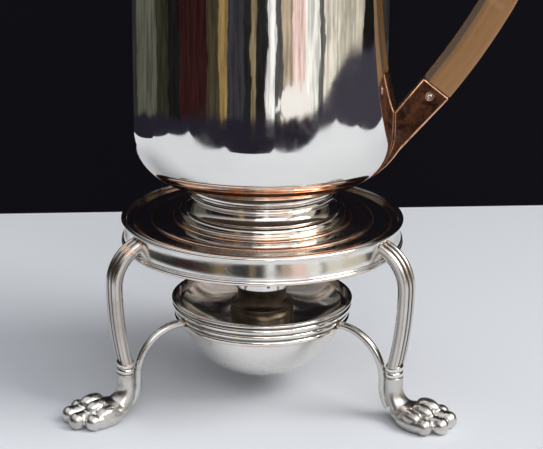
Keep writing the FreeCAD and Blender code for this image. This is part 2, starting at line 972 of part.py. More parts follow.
def make_mouth_wire():
    """Moulding wire round the outside of the mouth."""
    inner = dim.body_radius + dim.solder_gap
    shoulder = inner + dim.mouth_wire_proud / 2
    low = body_top + dim.seat_gap * 2 - dim.mouth_wire_height
    middle = low + dim.mouth_wire_height * 0.4
    high = low + dim.mouth_wire_height
    keep(
        spun(
            "pot_rim_wire",
            [
                (inner, low),
                (shoulder, low),
                (shoulder, middle, dim.mouth_wire_height * 0.22),
                (shoulder, high, dim.mouth_wire_height * 0.32),
                (inner, high),
            ],
        ),
        "pot_rim_wire",
    )
    return high


def spout_sections(name, inset):
    """Ellipses from the body's wall, round a bend, to the level lip."""
    stations = (
        ("base", -dim.body_wall * 2, dim.spout_centre_drop, -90, dim.spout_base_height, dim.spout_base_width),
        ("bend", dim.spout_bend_out, dim.spout_bend_drop, -45, dim.spout_bend_height, dim.spout_bend_width),
        ("tip", dim.spout_tip_out, dim.spout_tip_drop, 0, dim.spout_tip_length, dim.spout_tip_width),
    )
    rings = []
    for title, out, drop, lean, length, width in stations:
        ring = primitive(
            "Ellipse",
            f"{name}_{title}",
            MajorRadius=length / 2 - inset,
            MinorRadius=width / 2 - inset,
        )
        place(ring, x=-(dim.body_radius + out), z=body_top - drop, turn=lean, axis=(0, 1, 0))
        rings.append(ring)
    loft = doc.addObject("Part::Loft", name)
    loft.Sections = rings
    loft.Solid = True
    return loft


def make_spout(envelope):
    """Short beak, hollow from the strainer to the lip."""
    outside = spout_sections("spout_outside", as_size(0))
    inside = spout_sections("spout_inside", dim.spout_wall)
    shell = cut("spout_shell", outside, inside)
    keep(cut("spout", shell, envelope), "spout")


grip_top_bend = dim.body_height * (1 - dim.grip_apex_share) - dim.grip_top_drop
grip_middle_bend = dim.body_height * dim.grip_middle_share
grip_low_bend = dim.body_height * dim.grip_low_share


def grip_line():
    """Corners of the handle's centre line, from the upper socket round the apex to the lower one."""
    apex_x = dim.body_radius + dim.grip_reach
    apex_z = body_bottom + dim.body_height * dim.grip_apex_share
    swing = dim.grip_middle_angle
    total = dim.grip_middle_angle + dim.grip_low_angle
    upper = (apex_x - grip_top_bend, apex_z + grip_top_bend)
    middle = (
        apex_x - grip_middle_bend + grip_middle_bend * cosine(swing),
        apex_z - grip_middle_bend * sine(swing),
    )
    lower = (
        middle[0] + grip_low_bend * (cosine(total) - cosine(swing)),
        middle[1] - grip_low_bend * (sine(total) - sine(swing)),
    )
    return upper, (apex_x, apex_z), middle, lower, total


grip_upper, grip_apex, grip_middle, grip_lower, grip_lean = grip_line()


def grip_section(sketch):
    """Slab with bevelled edges."""
    half_width = dim.grip_width / 2
    half_thickness = dim.grip_thickness / 2
    flat = half_thickness - dim.grip_bevel
    side = half_width - dim.grip_bevel
    height = grip_upper[1]
    draw(
        sketch,
        [
            (-flat, height - half_width),
            (flat, height - half_width),
            (half_thickness, height - side),
            (half_thickness, height + side),
            (flat, height + half_width),
            (-flat, height + half_width),
            (-half_thickness, height + side),
            (-half_thickness, height - side),
        ],
    )


def tenon_block(name, end, clearance):
    """Block that runs from one end of the handle into its socket, grown by a clearance."""
    length = dim.tenon_length + clearance
    width = dim.grip_width - 2 * dim.tenon_wall + 2 * clearance
    thickness = dim.grip_thickness - 2 * dim.tenon_wall + 2 * clearance
    block = primitive("Box", name, Length=length, Width=thickness, Height=width)
    if end == "upper":
        x = grip_upper[0] - length
        return place(block, x=x, y=-thickness / 2, z=grip_upper[1] - width / 2)
    turn = grip_lean - 90
    x = grip_lower[0] - length * sine(grip_lean) + width / 2 * cosine(grip_lean)
    z = grip_lower[1] - length * cosine(grip_lean) - width / 2 * sine(grip_lean)
    return place(block, x=x, y=-thickness / 2, z=z, turn=turn, axis=(0, 1, 0))


def pin_rod(name, end, radius, length):
    """Rod across the handle, through socket and tenon."""
    if end == "upper":
        x = grip_upper[0] - dim.pin_back
        z = grip_upper[1]
    else:
        x = grip_lower[0] - dim.pin_back * sine(grip_lean)
        z = grip_lower[1] - dim.pin_back * cosine(grip_lean)
    rod = primitive("Cylinder", name, Radius=radius, Height=length)
    return place(rod, x=x, y=length / 2, z=z, turn=90, axis=(1, 0, 0))


def make_grip():
    """Wood handle with a tenon at each end, drilled for the socket pins."""
    path = [
        grip_upper,
        (*grip_apex, -grip_top_bend),
        (*grip_middle, -grip_middle_bend),
        (*grip_lower, -grip_low_bend),
    ]
    bow = swept("grip_bow", path, grip_section, grip_upper[0])
    tenons = [tenon_block(f"grip_tenon_{end}", end, as_size(0)) for end in ("upper", "lower")]
    whole = fused("grip_whole", [bow] + tenons)
    hole = dim.pin_radius + dim.pin_clearance
    drills = [
        pin_rod(f"grip_drill_{end}", end, hole, dim.grip_thickness * 2) for end in ("upper", "lower")
    ]
    keep(cut("handle_grip", whole, fused("grip_drills", drills)), "handle_grip")


def make_socket(end, outline, envelope):
    """Flat-sided boot, trimmed to the body, with a pocket for the tenon and a drilled pin hole."""
    boot = slab(f"socket_{end}_boot", outline, dim.grip_thickness)
    trimmed = cut(f"socket_{end}_trimmed", boot, envelope)
    hole = dim.pin_radius + dim.pin_clearance
    tools = [
        tenon_block(f"socket_{end}_pocket", end, dim.tenon_clearance),
        pin_rod(f"socket_{end}_drill", end, hole, dim.grip_thickness * 2),
    ]
    keep(cut(f"socket_{end}", trimmed, fused(f"socket_{end}_tools", tools)), f"socket_{end}")
    pin = pin_rod(f"socket_pin_{end}", end, dim.pin_radius, dim.grip_thickness)
    keep(pin, f"socket_pin_{end}")


def make_sockets(envelope):
    half = dim.grip_width / 2
    mouth = dim.solder_gap
    inside = dim.body_radius - 6 * dim.body_wall
    upper_x = grip_upper[0] - mouth
    upper_z = grip_upper[1]
    flare = half + dim.boot_flare
    make_socket(
        "upper",
        [
            (inside, upper_z - flare),
            (dim.body_radius, upper_z - flare),
            (upper_x, upper_z - half, -3 * dim.grip_width),
            (upper_x, upper_z + half),
            (dim.body_radius, upper_z + flare, -3 * dim.grip_width),
            (inside, upper_z + flare),
        ],
        envelope,
    )
    end_x = grip_lower[0] - mouth * sine(grip_lean)
    end_z = grip_lower[1] - mouth * cosine(grip_lean)
    knee = (dim.body_radius + dim.boot_knee_out, body_bottom + dim.boot_knee_rise)
    tip = (dim.body_edge_radius + dim.boot_tip_out, body_bottom + dim.solder_gap)
    make_socket(
        "lower",
        [
            (end_x - half * cosine(grip_lean), end_z + half * sine(grip_lean)),
            (inside, end_z - dim.boot_crotch_drop),
            (dim.body_edge_radius - dim.boot_tip_out, body_bottom + dim.boot_knee_rise),
            (dim.body_edge_radius - dim.boot_tip_out, body_bottom + dim.solder_gap),
            tip,
            (*knee, 3 * dim.grip_width),
            (end_x + half * cosine(grip_lean), end_z - half * sine(grip_lean)),
        ],
        envelope,
    )


def make_hinge(rim_top, envelope):
    """Five-knuckle hinge at the handle's side: fixed bracket, pin and the lid's leaf."""
    barrel = dim.hinge_barrel
    axis_x = dim.body_radius + dim.solder_gap + dim.mouth_wire_proud + dim.hinge_out
    axis_z = rim_top + dim.hinge_rise
    wire_low = rim_top - dim.mouth_wire_height
    bracket_top = wire_low - dim.solder_gap
    bracket_low = wire_low - dim.hinge_leaf_drop + dim.mouth_wire_height
    inside = dim.body_radius - 4 * dim.body_wall
    width = 5 * dim.hinge_knuckle
    knuckle = dim.hinge_knuckle

    def block(name, y, length_y, reach):
        """Clearance block round the barrel, centred on a knuckle."""
        tool = primitive("Box", name, Length=2 * reach, Width=length_y, Height=2 * reach)
        return place(tool, x=axis_x - reach, y=y - length_y / 2, z=axis_z - reach)

    def bore(name, radius):
        drill = primitive("Cylinder", name, Radius=radius, Height=width * 2)
        return place(drill, x=axis_x, y=width, z=axis_z, turn=90, axis=(1, 0, 0))

    bracket = slab(
        "hinge_bracket_slab",
        [
            (inside, bracket_low),
            (dim.body_radius + dim.hinge_leaf_wall, bracket_low),
            (axis_x + barrel, axis_z - barrel),
            (axis_x + barrel, axis_z),
            (axis_x, axis_z + barrel, barrel),
            (axis_x - barrel, axis_z, barrel),
            (axis_x - barrel, bracket_top),
            (inside, bracket_top),
        ],
        width,
    )
    reach = barrel + dim.seat_gap
    free = knuckle + 2 * dim.hinge_side_gap
    gaps = [block(f"hinge_gap_{side}", side * knuckle, free, reach) for side in (-1, 1)]
    hole = dim.hinge_pin_radius + dim.pin_clearance
    trimmed = cut("hinge_bracket_trimmed", bracket, envelope)
    tools = fused("hinge_bracket_tools", gaps + [bore("hinge_bracket_bore", hole)])
    keep(cut("hinge_bracket", trimmed, tools), "hinge_bracket")

    pin = primitive("Cylinder", "hinge_pin", Radius=dim.hinge_pin_radius, Height=width)
    place(pin, x=axis_x, y=width / 2, z=axis_z, turn=90, axis=(1, 0, 0))
    keep(pin, "hinge_pin")

    flange_top = rim_top + dim.seat_gap + dim.lid_flange_wall
    leaf_low = flange_top + dim.solder_gap / 2
    leaf_inside = lid_radius() - dim.lid_flange_width + dim.solder_gap * 4
    leaf = slab(
        "lid_hinge_slab",
        [
            (leaf_inside, leaf_low),
            (axis_x - barrel, leaf_low),
            (axis_x - barrel, axis_z),
            (axis_x, axis_z - barrel, barrel),
            (axis_x + barrel, axis_z, barrel),
            (axis_x, axis_z + barrel, barrel),
            (leaf_inside, leaf_low + dim.hinge_leaf_wall),
        ],
        3 * knuckle - 2 * dim.hinge_side_gap,
    )
    centre = block("lid_hinge_gap", as_size(0), free, reach)
    tools = fused("lid_hinge_tools", [centre, bore("lid_hinge_bore", hole)])
    keep(cut("lid_hinge_leaf", leaf, tools), "lid_hinge_leaf")
    return axis_x, axis_z


def lid_radius():
    return dim.body_radius + dim.solder_gap + dim.mouth_wire_proud


def make_lid(rim_top):
    """Domed cover with a flat flange, and the bezel ring that seats in the mouth."""
    low = rim_top + dim.seat_gap
    flange = low + dim.lid_flange_wall
    outer = lid_radius()
    spring = outer - dim.lid_flange_width
    crown = flange + dim.lid_rise
    hole = dim.finial_stud_radius + dim.pin_clearance
    keep(
        spun(
            "lid_dome",
            [
                (outer, low),
                (outer, flange),
                (spring, flange),
                (dim.lid_boss_radius, crown, dim.lid_bend),
                (hole, crown),
                (hole, crown - dim.lid_wall),
                (dim.lid_boss_radius, crown - dim.lid_wall),
                (spring - dim.lid_wall, low, -dim.lid_bend),
            ],
        ),
        "lid_dome",
    )
    bezel = dim.body_radius - dim.body_wall - dim.bezel_clearance
    top = low - dim.solder_gap / 2
    keep(
        spun(
            "lid_bezel",
            [
                (bezel - dim.bezel_wall, top - dim.bezel_depth),
                (bezel, top - dim.bezel_depth),
                (bezel, top),
                (bezel - dim.bezel_wall, top),
            ],
        ),
        "lid_bezel",
    )
    return crown


def make_finial(crown):
    """Silver plate, turned wood knob, and a stud with a button on top and a nut inside the lid."""
    hole = dim.finial_stud_radius + dim.pin_clearance
    low = crown + dim.solder_gap / 2
    plate_top = low + dim.finial_plate_height
    waist = dim.finial_knob_radius * 0.55
    keep(
        spun(
            "finial_plate",
            [
                (hole, low),
                (dim.lid_boss_radius, low),
                (waist, plate_top, -2 * dim.finial_plate_height),
                (hole, plate_top),
            ],
        ),
        "finial_plate",
    )
    knob_low = plate_top + dim.solder_gap / 2
    knob_top = knob_low + dim.finial_knob_height
    widest = knob_low + dim.finial_knob_height * 0.6
    keep(
        spun(
            "finial_knob",
            [
                (hole, knob_low),
                (waist, knob_low),
                (dim.finial_knob_radius, widest, -dim.finial_knob_height),
                (dim.finial_button_radius * 1.25, knob_top, dim.finial_knob_radius * 0.7),
                (hole, knob_top),
            ],
        ),
        "finial_knob",
    )
    button_low = knob_top + dim.solder_gap / 2
    button_top = button_low + dim.finial_button_height
    nut_top = crown - dim.lid_wall - dim.solder_gap / 2
    stud_low = nut_top - dim.finial_nut_height - dim.finial_stud_radius
    keep(
        spun(
            "finial_stud",
            [
                (0, stud_low),
                (dim.finial_stud_radius, stud_low),
                (dim.finial_stud_radius, button_low),
                (dim.finial_button_radius, button_low),
                (
                    dim.finial_button_radius * 0.35,
                    button_top,
                    dim.finial_button_height * 0.85,
                ),
                (0, button_top),
            ],
        ),
        "finial_stud",
    )
    nut = primitive(
        "Prism", "finial_nut_blank", Circumradius=dim.finial_nut_radius, Height=dim.finial_nut_height
    )
    nut.Polygon = 6
    place(nut, z=nut_top - dim.finial_nut_height)
    bore = primitive("Cylinder", "finial_nut_bore", Radius=hole, Height=dim.finial_nut_height * 3)
    place(bore, z=nut_top - dim.finial_nut_height * 2)
    keep(cut("finial_nut", nut, bore), "finial_nut")


def make_stand():
    make_plate()
    make_apron()
    make_apron_wires()
    for name, angle in zip(LEG_NAMES, leg_angles):
        make_leg(name, angle)
        make_collar(name, angle)
        make_paw(name, angle)
        make_strut(name, angle)
    make_lamp_ring()


def make_lamp():
    make_lamp_bowl()
    ledge, lip_bore = make_lamp_rim()
    foot = make_lamp_top(ledge, lip_bore)
    floor, wick_top = make_burner(foot)
    make_snuffer(floor)
    return wick_top


def make_pot():
    envelope = make_envelope()
    make_pot_body()
    make_pot_bottom()
    make_pot_foot()
    rim_top = make_mouth_wire()
    make_spout(envelope)
    make_grip()
    make_sockets(envelope)
    axis_x, axis_z = make_hinge(rim_top, envelope)
    crown = make_lid(rim_top)
    make_finial(crown)
    return axis_x, axis_z


def check_and_write():
    """Stop at a failed object or a bad shape, and otherwise write one file for each sub-part."""
    doc.recompute()
    failed = [item.Name for item in doc.Objects if {"Invalid", "Error"} & set(item.State)]
    if failed:
        raise RuntimeError(f"failed objects: {failed}")
    for node in nodes:
        if node.Shape.isNull() or not node.Shape.isValid():
            raise RuntimeError(f"bad shape: {node.Label}")
    os.makedirs("parts", exist_ok=True)
    for node in nodes:
        node.Shape.exportStep(os.path.join("parts", f"{node.Label}.step"))


def report(wick_top, hinge):
    """Print the sizes that the joints and the fits depend on."""
    print(f"{len(nodes)} sub-parts")
    print(f"lid hinge axis at x {hinge[0].number:.3f}, z {hinge[1].number:.3f}")
    print(f"wick top at {wick_top.number:.2f}, pot bottom at {body_bottom.number:.2f}")
    for node in nodes:
        box = node.Shape.BoundBox
        print(
            f"{node.Label:20s} solids {len(node.Shape.Solids)} volume {node.Shape.Volume:10.1f}"
            f" z {box.ZMin:7.2f} {box.ZMax:7.2f} x {box.XMin:7.2f} {box.XMax:7.2f}"
        )


make_stand()
lamp_wick_top = make_lamp()
lid_hinge = make_pot()
check_and_write()
report(lamp_wick_top, lid_hinge)
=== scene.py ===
import json
import math
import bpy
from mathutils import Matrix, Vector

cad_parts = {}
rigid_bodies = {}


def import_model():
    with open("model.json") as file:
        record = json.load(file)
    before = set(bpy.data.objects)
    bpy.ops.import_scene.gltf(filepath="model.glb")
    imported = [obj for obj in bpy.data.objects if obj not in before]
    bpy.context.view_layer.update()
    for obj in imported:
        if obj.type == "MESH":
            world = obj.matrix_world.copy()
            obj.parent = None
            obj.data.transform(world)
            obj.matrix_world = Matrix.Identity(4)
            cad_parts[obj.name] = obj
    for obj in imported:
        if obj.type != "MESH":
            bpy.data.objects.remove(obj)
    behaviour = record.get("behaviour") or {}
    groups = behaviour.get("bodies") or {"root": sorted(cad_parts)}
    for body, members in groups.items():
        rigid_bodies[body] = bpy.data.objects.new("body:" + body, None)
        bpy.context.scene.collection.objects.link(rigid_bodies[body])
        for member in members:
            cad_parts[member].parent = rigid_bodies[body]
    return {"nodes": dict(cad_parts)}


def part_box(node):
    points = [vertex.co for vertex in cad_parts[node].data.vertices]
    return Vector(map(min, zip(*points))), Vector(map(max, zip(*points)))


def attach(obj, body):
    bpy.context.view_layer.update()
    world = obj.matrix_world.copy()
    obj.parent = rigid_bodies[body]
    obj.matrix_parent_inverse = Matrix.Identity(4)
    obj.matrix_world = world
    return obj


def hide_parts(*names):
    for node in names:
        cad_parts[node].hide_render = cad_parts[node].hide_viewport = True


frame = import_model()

from types import SimpleNamespace

import bpy
from mathutils import Matrix, Vector

bl_info = {
    "name": "Coffee pot on a lamp stand",
    "version": (1, 0, 0),
    "blender": (4, 5, 0),
    "location": "View3D > Sidebar > Coffee pot",
    "description": "Dresses the silver-plated pot, its paw-footed stand and its spirit lamp",
    "category": "Add Mesh",
}

MM = 0.001
LEGS = ("right", "rear", "left")
FULL_TURN = 2 * math.pi
QUARTER_TURN = math.pi / 2
ARC_STEP = math.radians(9)
WELD = 0.002 * MM
CLOSING = 0.02 * MM
CUT_EXACT = 0.0001 * MM
TURN_STEPS = 192
SPIN_AXES = {"XZ": (0, 1, 0), "YZ": (-1, 0, 0), "XY": (0, 0, -1)}


# Sizes and colours


def length(name, description, millimetres):
    return bpy.props.FloatProperty(
        name=name, description=description, default=millimetres * MM, precision=5, unit="LENGTH"
    )


def angle(name, description, degrees):
    return bpy.props.FloatProperty(
        name=name, description=description, default=math.radians(degrees), subtype="ANGLE"
    )


def share(name, description, value):
    return bpy.props.FloatProperty(
        name=name, description=description, default=value, min=0, max=1, subtype="FACTOR"
    )


def colour(name, description, value):
    return bpy.props.FloatVectorProperty(
        name=name, description=description, default=value, size=3, min=0, max=1, subtype="COLOR"
    )


class CoffeeStandSizes(bpy.types.PropertyGroup):
    """Sizes of the stand."""

    seat_height: length("Seat height", "Top of the plate that the pot stands on", 78.5)
    hole_radius: length("Heat hole", "Radius of the hole over the lamp", 27.5)
    seat_radius: length("Seat radius", "Edge of the raised seat", 37.2)
    inner_reed: length("Inner reed", "Radius of the plate's inner reed", 45.6)
    outer_reed: length("Outer reed", "Radius of the plate's outer reed", 53.2)
    step_drop: length("Step", "Drop of the plate at each reed", 0.75)
    plate_wall: length("Plate wall", "Thickness of the plate", 1.2)
    band_radius: length("Band radius", "Outside of the band under the plate", 58.4)
    band_wall: length("Band wall", "Thickness of the band", 1.2)
    band_taper: length("Band taper", "How much narrower the band is at its top", 0.95)
    leg_turn: angle("Leg turn", "Direction of the right leg", -21.5)
    leg_width: length("Leg width", "Width of the reeded leg", 9.2)
    leg_thickness: length("Leg thickness", "Thickness of the reeded leg", 4.8)
    leg_reed_rise: length("Leg reed", "Height of the reeds on a leg", 0.9)
    leg_height: length("Leg height", "Height of a leg's middle at the band", 72.8)
    knee_out: length("Knee out", "Knee's distance outside the band", 9.8)
    knee_drop: length("Knee drop", "Knee's distance under the leg's start", 15.6)
    leg_out: length("Leg out", "Ankle's distance outside the band", 5.8)
    collar_top: length("Collar top", "Top of the ankle rings", 24.0)
    collar_height: length("Collar height", "Height of the ankle rings", 5.0)
    collar_radius: length("Collar radius", "Outside of the ankle rings", 4.45)
    ankle_radius: length("Ankle radius", "Radius of the ankle", 4.3)
    ankle_straight: length("Ankle length", "Straight part of the ankle", 5.5)
    ankle_flat: share("Ankle flatness", "Ankle's depth as a share of its width", 0.82)
    paw_bend: length("Heel bend", "Radius of the heel", 9.0)
    toe_width: length("Toe width", "Width of a toe", 7.3)
    toe_height: length("Toe height", "Height of a toe", 7.6)
    strut_radius: length("Strut radius", "Radius of the lamp's carrying rods", 1.7)


class CoffeeLampSizes(bpy.types.PropertyGroup):
    """Sizes of the spirit lamp."""

    bowl_radius: length("Bowl radius", "Outside of the bowl at its top", 34.6)
    bowl_depth: length("Bowl depth", "Depth of the bowl", 30.2)
    bowl_waist: length("Bowl waist", "Radius where the side meets the round bottom", 25.2)
    bowl_waist_rise: length("Waist rise", "Waist's height over the bowl's bottom", 9.5)
    bowl_side_bend: length("Side bend", "Radius of the bowl's side", 31.0)
    bowl_wall: length("Bowl wall", "Thickness of the bowl", 0.8)
    dish_drop: length("Dish drop", "Depth of the dished cover", 6.5)
    dish_bend: length("Dish bend", "Radius of the dished cover", 24.0)
    neck_radius: length("Neck radius", "Radius of the burner's neck", 10.4)
    neck_foot: length("Neck foot", "Radius of the burner's foot", 13.4)
    gallery_radius: length("Gallery radius", "Outside of the pierced gallery", 12.6)
    wick_radius: length("Wick radius", "Radius of the wick", 4.2)
    snuffer_radius: length("Snuffer radius", "Outside of the snuffer's cap", 8.2)


class CoffeePotSizes(bpy.types.PropertyGroup):
    """Sizes of the pot and its lid."""

    body_radius: length("Body radius", "Outside of the straight wall", 54.8)
    body_wall: length("Body wall", "Thickness of the wall", 1.1)
    body_edge: length("Bottom edge", "Radius of the body's bottom edge", 44.5)
    body_bottom: length("Body bottom", "Height of the body's bottom edge", 97.5)
    body_top: length("Body top", "Height of the mouth", 258.0)
    body_bulge: length("Bulge", "How far the body swells over its bottom edge", 0.2)
    bulge_rise: length("Bulge rise", "Height of the swelling over the bottom edge", 19.5)
    bulge_fade: length("Bulge fade", "Height over which the swelling fades", 60.0)
    dent_depth: length("Dent depth", "Depth of the broad dents in the wall", 0.03)
    foot_base: length("Foot base", "Radius of the foot's base moulding", 35.3)
    foot_flare: length("Foot flare", "Radius of the foot inside its moulding", 32.3)
    foot_neck: length("Foot neck", "Radius of the foot's neck", 29.8)
    foot_bore: length("Foot bore", "Inside radius of the foot", 28.2)
    spout_wall: length("Spout wall", "Thickness of the spout", 1.0)
    grip_width: length("Handle width", "Width of the wood, seen from the side", 13.0)
    grip_thickness: length("Handle thickness", "Thickness of the wood", 11.0)
    grip_reach: length("Handle reach", "Handle's middle line outside the body", 47.3)
    grip_apex: length("Handle apex", "Height of the handle's outmost point", 204.8)
    grip_top_bend: length("Upper bend", "Radius of the handle's upper bend", 35.0)
    grip_middle_bend: length("Middle bend", "Radius of the handle's middle bend", 70.0)
    grip_low_bend: length("Lower bend", "Radius of the handle's lower bend", 267.0)
    grip_middle_angle: angle("Middle sweep", "Sweep of the handle's middle bend", 28.0)
    grip_low_angle: angle("Lower sweep", "Sweep of the handle's lower bend", 9.0)
    lid_bend: length("Lid bend", "Radius of the lid's dome", 78.0)


class CoffeeLooks(bpy.types.PropertyGroup):
    """Colours and wear."""

    silver: colour("Silver", "Polished plate", (0.88, 0.86, 0.82))
    copper: colour("Copper", "Copper where the plate is worn off", (0.84, 0.42, 0.24))
    tarnish: colour("Tarnish", "Brown tarnish in the corners", (0.12, 0.085, 0.06))
    socket: colour("Socket", "Dull copper of the handle's sockets", (0.15, 0.058, 0.030))
    socket_edge: colour("Socket edge", "Bright copper at the sockets' edges", (0.90, 0.50, 0.31))
    burner: colour("Burner", "Heat-browned metal", (0.17, 0.135, 0.095))
    wood_light: colour("Light wood", "Pale rings of the wood", (0.33, 0.172, 0.070))
    wood_dark: colour("Dark wood", "Dark rings of the wood", (0.22, 0.112, 0.045))
    wick: colour("Wick", "Cotton", (0.72, 0.68, 0.60))
    table: colour("Table", "Pale table top", (0.70, 0.73, 0.78))
    backdrop: colour("Backdrop", "Dark cloth behind the table", (0.0065, 0.0060, 0.0085))
    edge_wear: share("Edge wear", "How much copper shows on the edges", 0.55)


def in_mm(group):
    """The sizes of a group in millimetres, and its other values as they are."""
    values = {}
    for name in group.__annotations__:
        value = getattr(group, name)
        values[name] = value / MM if group.bl_rna.properties[name].unit == "LENGTH" else value
    return SimpleNamespace(**values)


def node_span(node):
    """Outer radius, bottom and top of a turned node, in millimetres."""
    low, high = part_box(node)
    return SimpleNamespace(radius=high.x / MM, bottom=low.z / MM, top=high.z / MM)


# Modelling


def to_object_mode():
    if bpy.context.mode != "OBJECT":
        bpy.ops.object.mode_set(mode="OBJECT")
    bpy.ops.object.select_all(action="DESELECT")


def pick(obj):
    to_object_mode()
    obj.select_set(True)
    bpy.context.view_layer.objects.active = obj


def edit(obj):
    pick(obj)
    bpy.ops.object.mode_set(mode="EDIT")
    bpy.ops.mesh.select_all(action="SELECT")


def added(name):
    """The object that an add operator has just made, under its own name."""
    obj = bpy.context.active_object
    obj.name = name
    obj.data.name = name
    return obj


def on_plane(plane, across, up, at=0.0):
    """A point or step of a drawing in metres, from millimetres."""
    places = {"XZ": (across, at, up), "YZ": (at, across, up), "XY": (across, up, at)}
    return Vector(places[plane]) * MM


def start_point(name, place):
    """A new object that holds one point, in edit mode."""
    to_object_mode()
    bpy.ops.mesh.primitive_plane_add(size=MM)
    obj = added(name)
    bpy.ops.object.mode_set(mode="EDIT")
    bpy.ops.mesh.merge(type="CENTER")
    bpy.ops.transform.translate(value=place)
    return obj


def trace(corners, plane="XZ", at=0.0, pitch=None):
    """Extrude the selected point along straight runs and arcs.

    A corner's third number is the radius of the arc that leads to it, positive where the arc
    bulges to the right of the way along. Straight runs longer than the pitch are divided.
    """
    for here, there in zip(corners, corners[1:]):
        start = Vector(here[:2])
        along = Vector(there[:2]) - start
        if len(there) == 2:
            steps = max(1, math.ceil(along.length / pitch)) if pitch else 1
            move = on_plane(plane, along.x / steps, along.y / steps)
            for _ in range(steps):
                bpy.ops.mesh.extrude_region_move(TRANSFORM_OT_translate={"value": move})
            continue
        radius = abs(there[2])
        half = along.length / 2
        side = Vector((-along.y, along.x)).normalized() * math.copysign(1, there[2])
        centre = start + along / 2 + side * math.sqrt(max(radius * radius - half * half, 0))
        sweep = 2 * math.asin(min(1, half / radius))
        steps = max(3, math.ceil(sweep / ARC_STEP))
        if pitch:
            steps = max(steps, math.ceil(sweep * radius / pitch))
        bpy.ops.mesh.spin(
            steps=steps,
            angle=math.copysign(sweep, there[2]),
            center=on_plane(plane, centre.x, centre.y, at),
            axis=SPIN_AXES[plane],
        )


def weld_and_turn_out():
    bpy.ops.mesh.select_all(action="SELECT")
    bpy.ops.mesh.remove_doubles(threshold=WELD)
    bpy.ops.mesh.normals_make_consistent(inside=False)


def smooth(obj, degrees=35):
    pick(obj)
    bpy.ops.object.shade_smooth_by_angle(angle=math.radians(degrees))
    return obj


def turned(name, corners, steps=TURN_STEPS, pitch=None):
    """A closed outline of radii and heights, turned about the upright axis."""
    obj = start_point(name, on_plane("XZ", *corners[0][:2]))
    trace(list(corners) + [corners[0][:2]], pitch=pitch)
    bpy.ops.mesh.select_all(action="SELECT")
    bpy.ops.mesh.remove_doubles(threshold=CLOSING)
    bpy.ops.mesh.spin(steps=steps, angle=FULL_TURN, center=(0, 0, 0), axis=(0, 0, 1))
    weld_and_turn_out()
    bpy.ops.mesh.delete_loose()
    return smooth(obj)


def swing_about(turn, centre):
    """Turn what is selected in the XZ plane, the same way round as a spin."""
    bpy.ops.transform.rotate(
        value=turn, orient_axis="Y", orient_type="GLOBAL", center_override=on_plane("XZ", *centre)
    )


def swept(name, section, at, moves, plane="YZ", swing=None):
    """A closed section, filled and carried along straight runs and bends in the XZ plane.

    A swing is an angle and a centre about which the section is turned before it sets out.
    """
    obj = start_point(name, on_plane(plane, *section[0][:2], at))
    trace(list(section) + [section[0][:2]], plane, at)
    bpy.ops.mesh.select_all(action="SELECT")
    bpy.ops.mesh.remove_doubles(threshold=WELD)
    bpy.ops.mesh.edge_face_add()
    if swing:
        swing_about(*swing)
    for move in moves:
        if move[0] == "run":
            _, across, up, steps = move
            step = on_plane("XZ", across / steps, up / steps)
            for _ in range(steps):
                bpy.ops.mesh.extrude_region_move(TRANSFORM_OT_translate={"value": step})
        else:
            _, turn, centre, steps = move
            bpy.ops.mesh.spin(
                steps=steps, angle=turn, center=on_plane("XZ", *centre), axis=SPIN_AXES["XZ"]
            )
    weld_and_turn_out()
    return smooth(obj)


def apply_modifier(obj, kind, **settings):
    pick(obj)
    modifier = obj.modifiers.new(kind.title(), kind)
    for name, value in settings.items():
        setattr(modifier, name, value)
    bpy.ops.object.modifier_apply(modifier=modifier.name)
    return obj


def keep_outer_skin(obj):
    """Delete bubbles that a remesh has left inside."""
    edit(obj)
    bpy.ops.mesh.select_all(action="DESELECT")
    to_object_mode()
    highest = max(obj.data.vertices, key=lambda corner: corner.co.z)
    highest.select = True
    pick(obj)
    bpy.ops.object.mode_set(mode="EDIT")
    bpy.ops.mesh.select_linked()
    bpy.ops.mesh.select_all(action="INVERT")
    bpy.ops.mesh.delete(type="VERT")


def soften(obj, width, segments=2, degrees=30):
    """Ease the sharp edges."""
    apply_modifier(
        obj,
        "BEVEL",
        width=width * MM,
        segments=segments,
        limit_method="ANGLE",
        angle_limit=math.radians(degrees),
        use_clamp_overlap=True,
    )
    return smooth(obj)


def dent(obj, size, depth):
    """Broad, shallow unevenness of hand-raised metal."""
    clouds = bpy.data.textures.new(f"{obj.name}_dents", "CLOUDS")
    clouds.noise_scale = size * MM
    clouds.noise_depth = 1
    clouds.noise_basis = "IMPROVED_PERLIN"
    apply_modifier(
        obj, "DISPLACE", texture=clouds, texture_coords="LOCAL", strength=depth * MM, mid_level=0.5
    )
    return smooth(obj)


def cut_away(obj, tool):
    apply_modifier(obj, "BOOLEAN", operation="DIFFERENCE", solver="EXACT", object=tool)
    bpy.data.objects.remove(tool, do_unlink=True)
    edit(obj)
    bpy.ops.mesh.remove_doubles(threshold=WELD)
    return smooth(obj)


def copy_of(obj, name):
    pick(obj)
    bpy.ops.object.duplicate(linked=False)
    return added(name)


def joined(name, pieces):
    to_object_mode()
    for piece in pieces:
        piece.select_set(True)
    bpy.context.view_layer.objects.active = pieces[0]
    bpy.ops.object.join()
    return added(name)


def set_in_place(obj, turn=0.0, x=0.0, z=0.0):
    """Move along X and Z, then turn about the upright axis, with the place kept in the mesh."""
    edit(obj)
    bpy.ops.transform.translate(value=(x * MM, 0, z * MM))
    to_object_mode()
    obj.rotation_euler.z = turn
    pick(obj)
    bpy.ops.object.transform_apply(location=True, rotation=True, scale=True)
    return obj


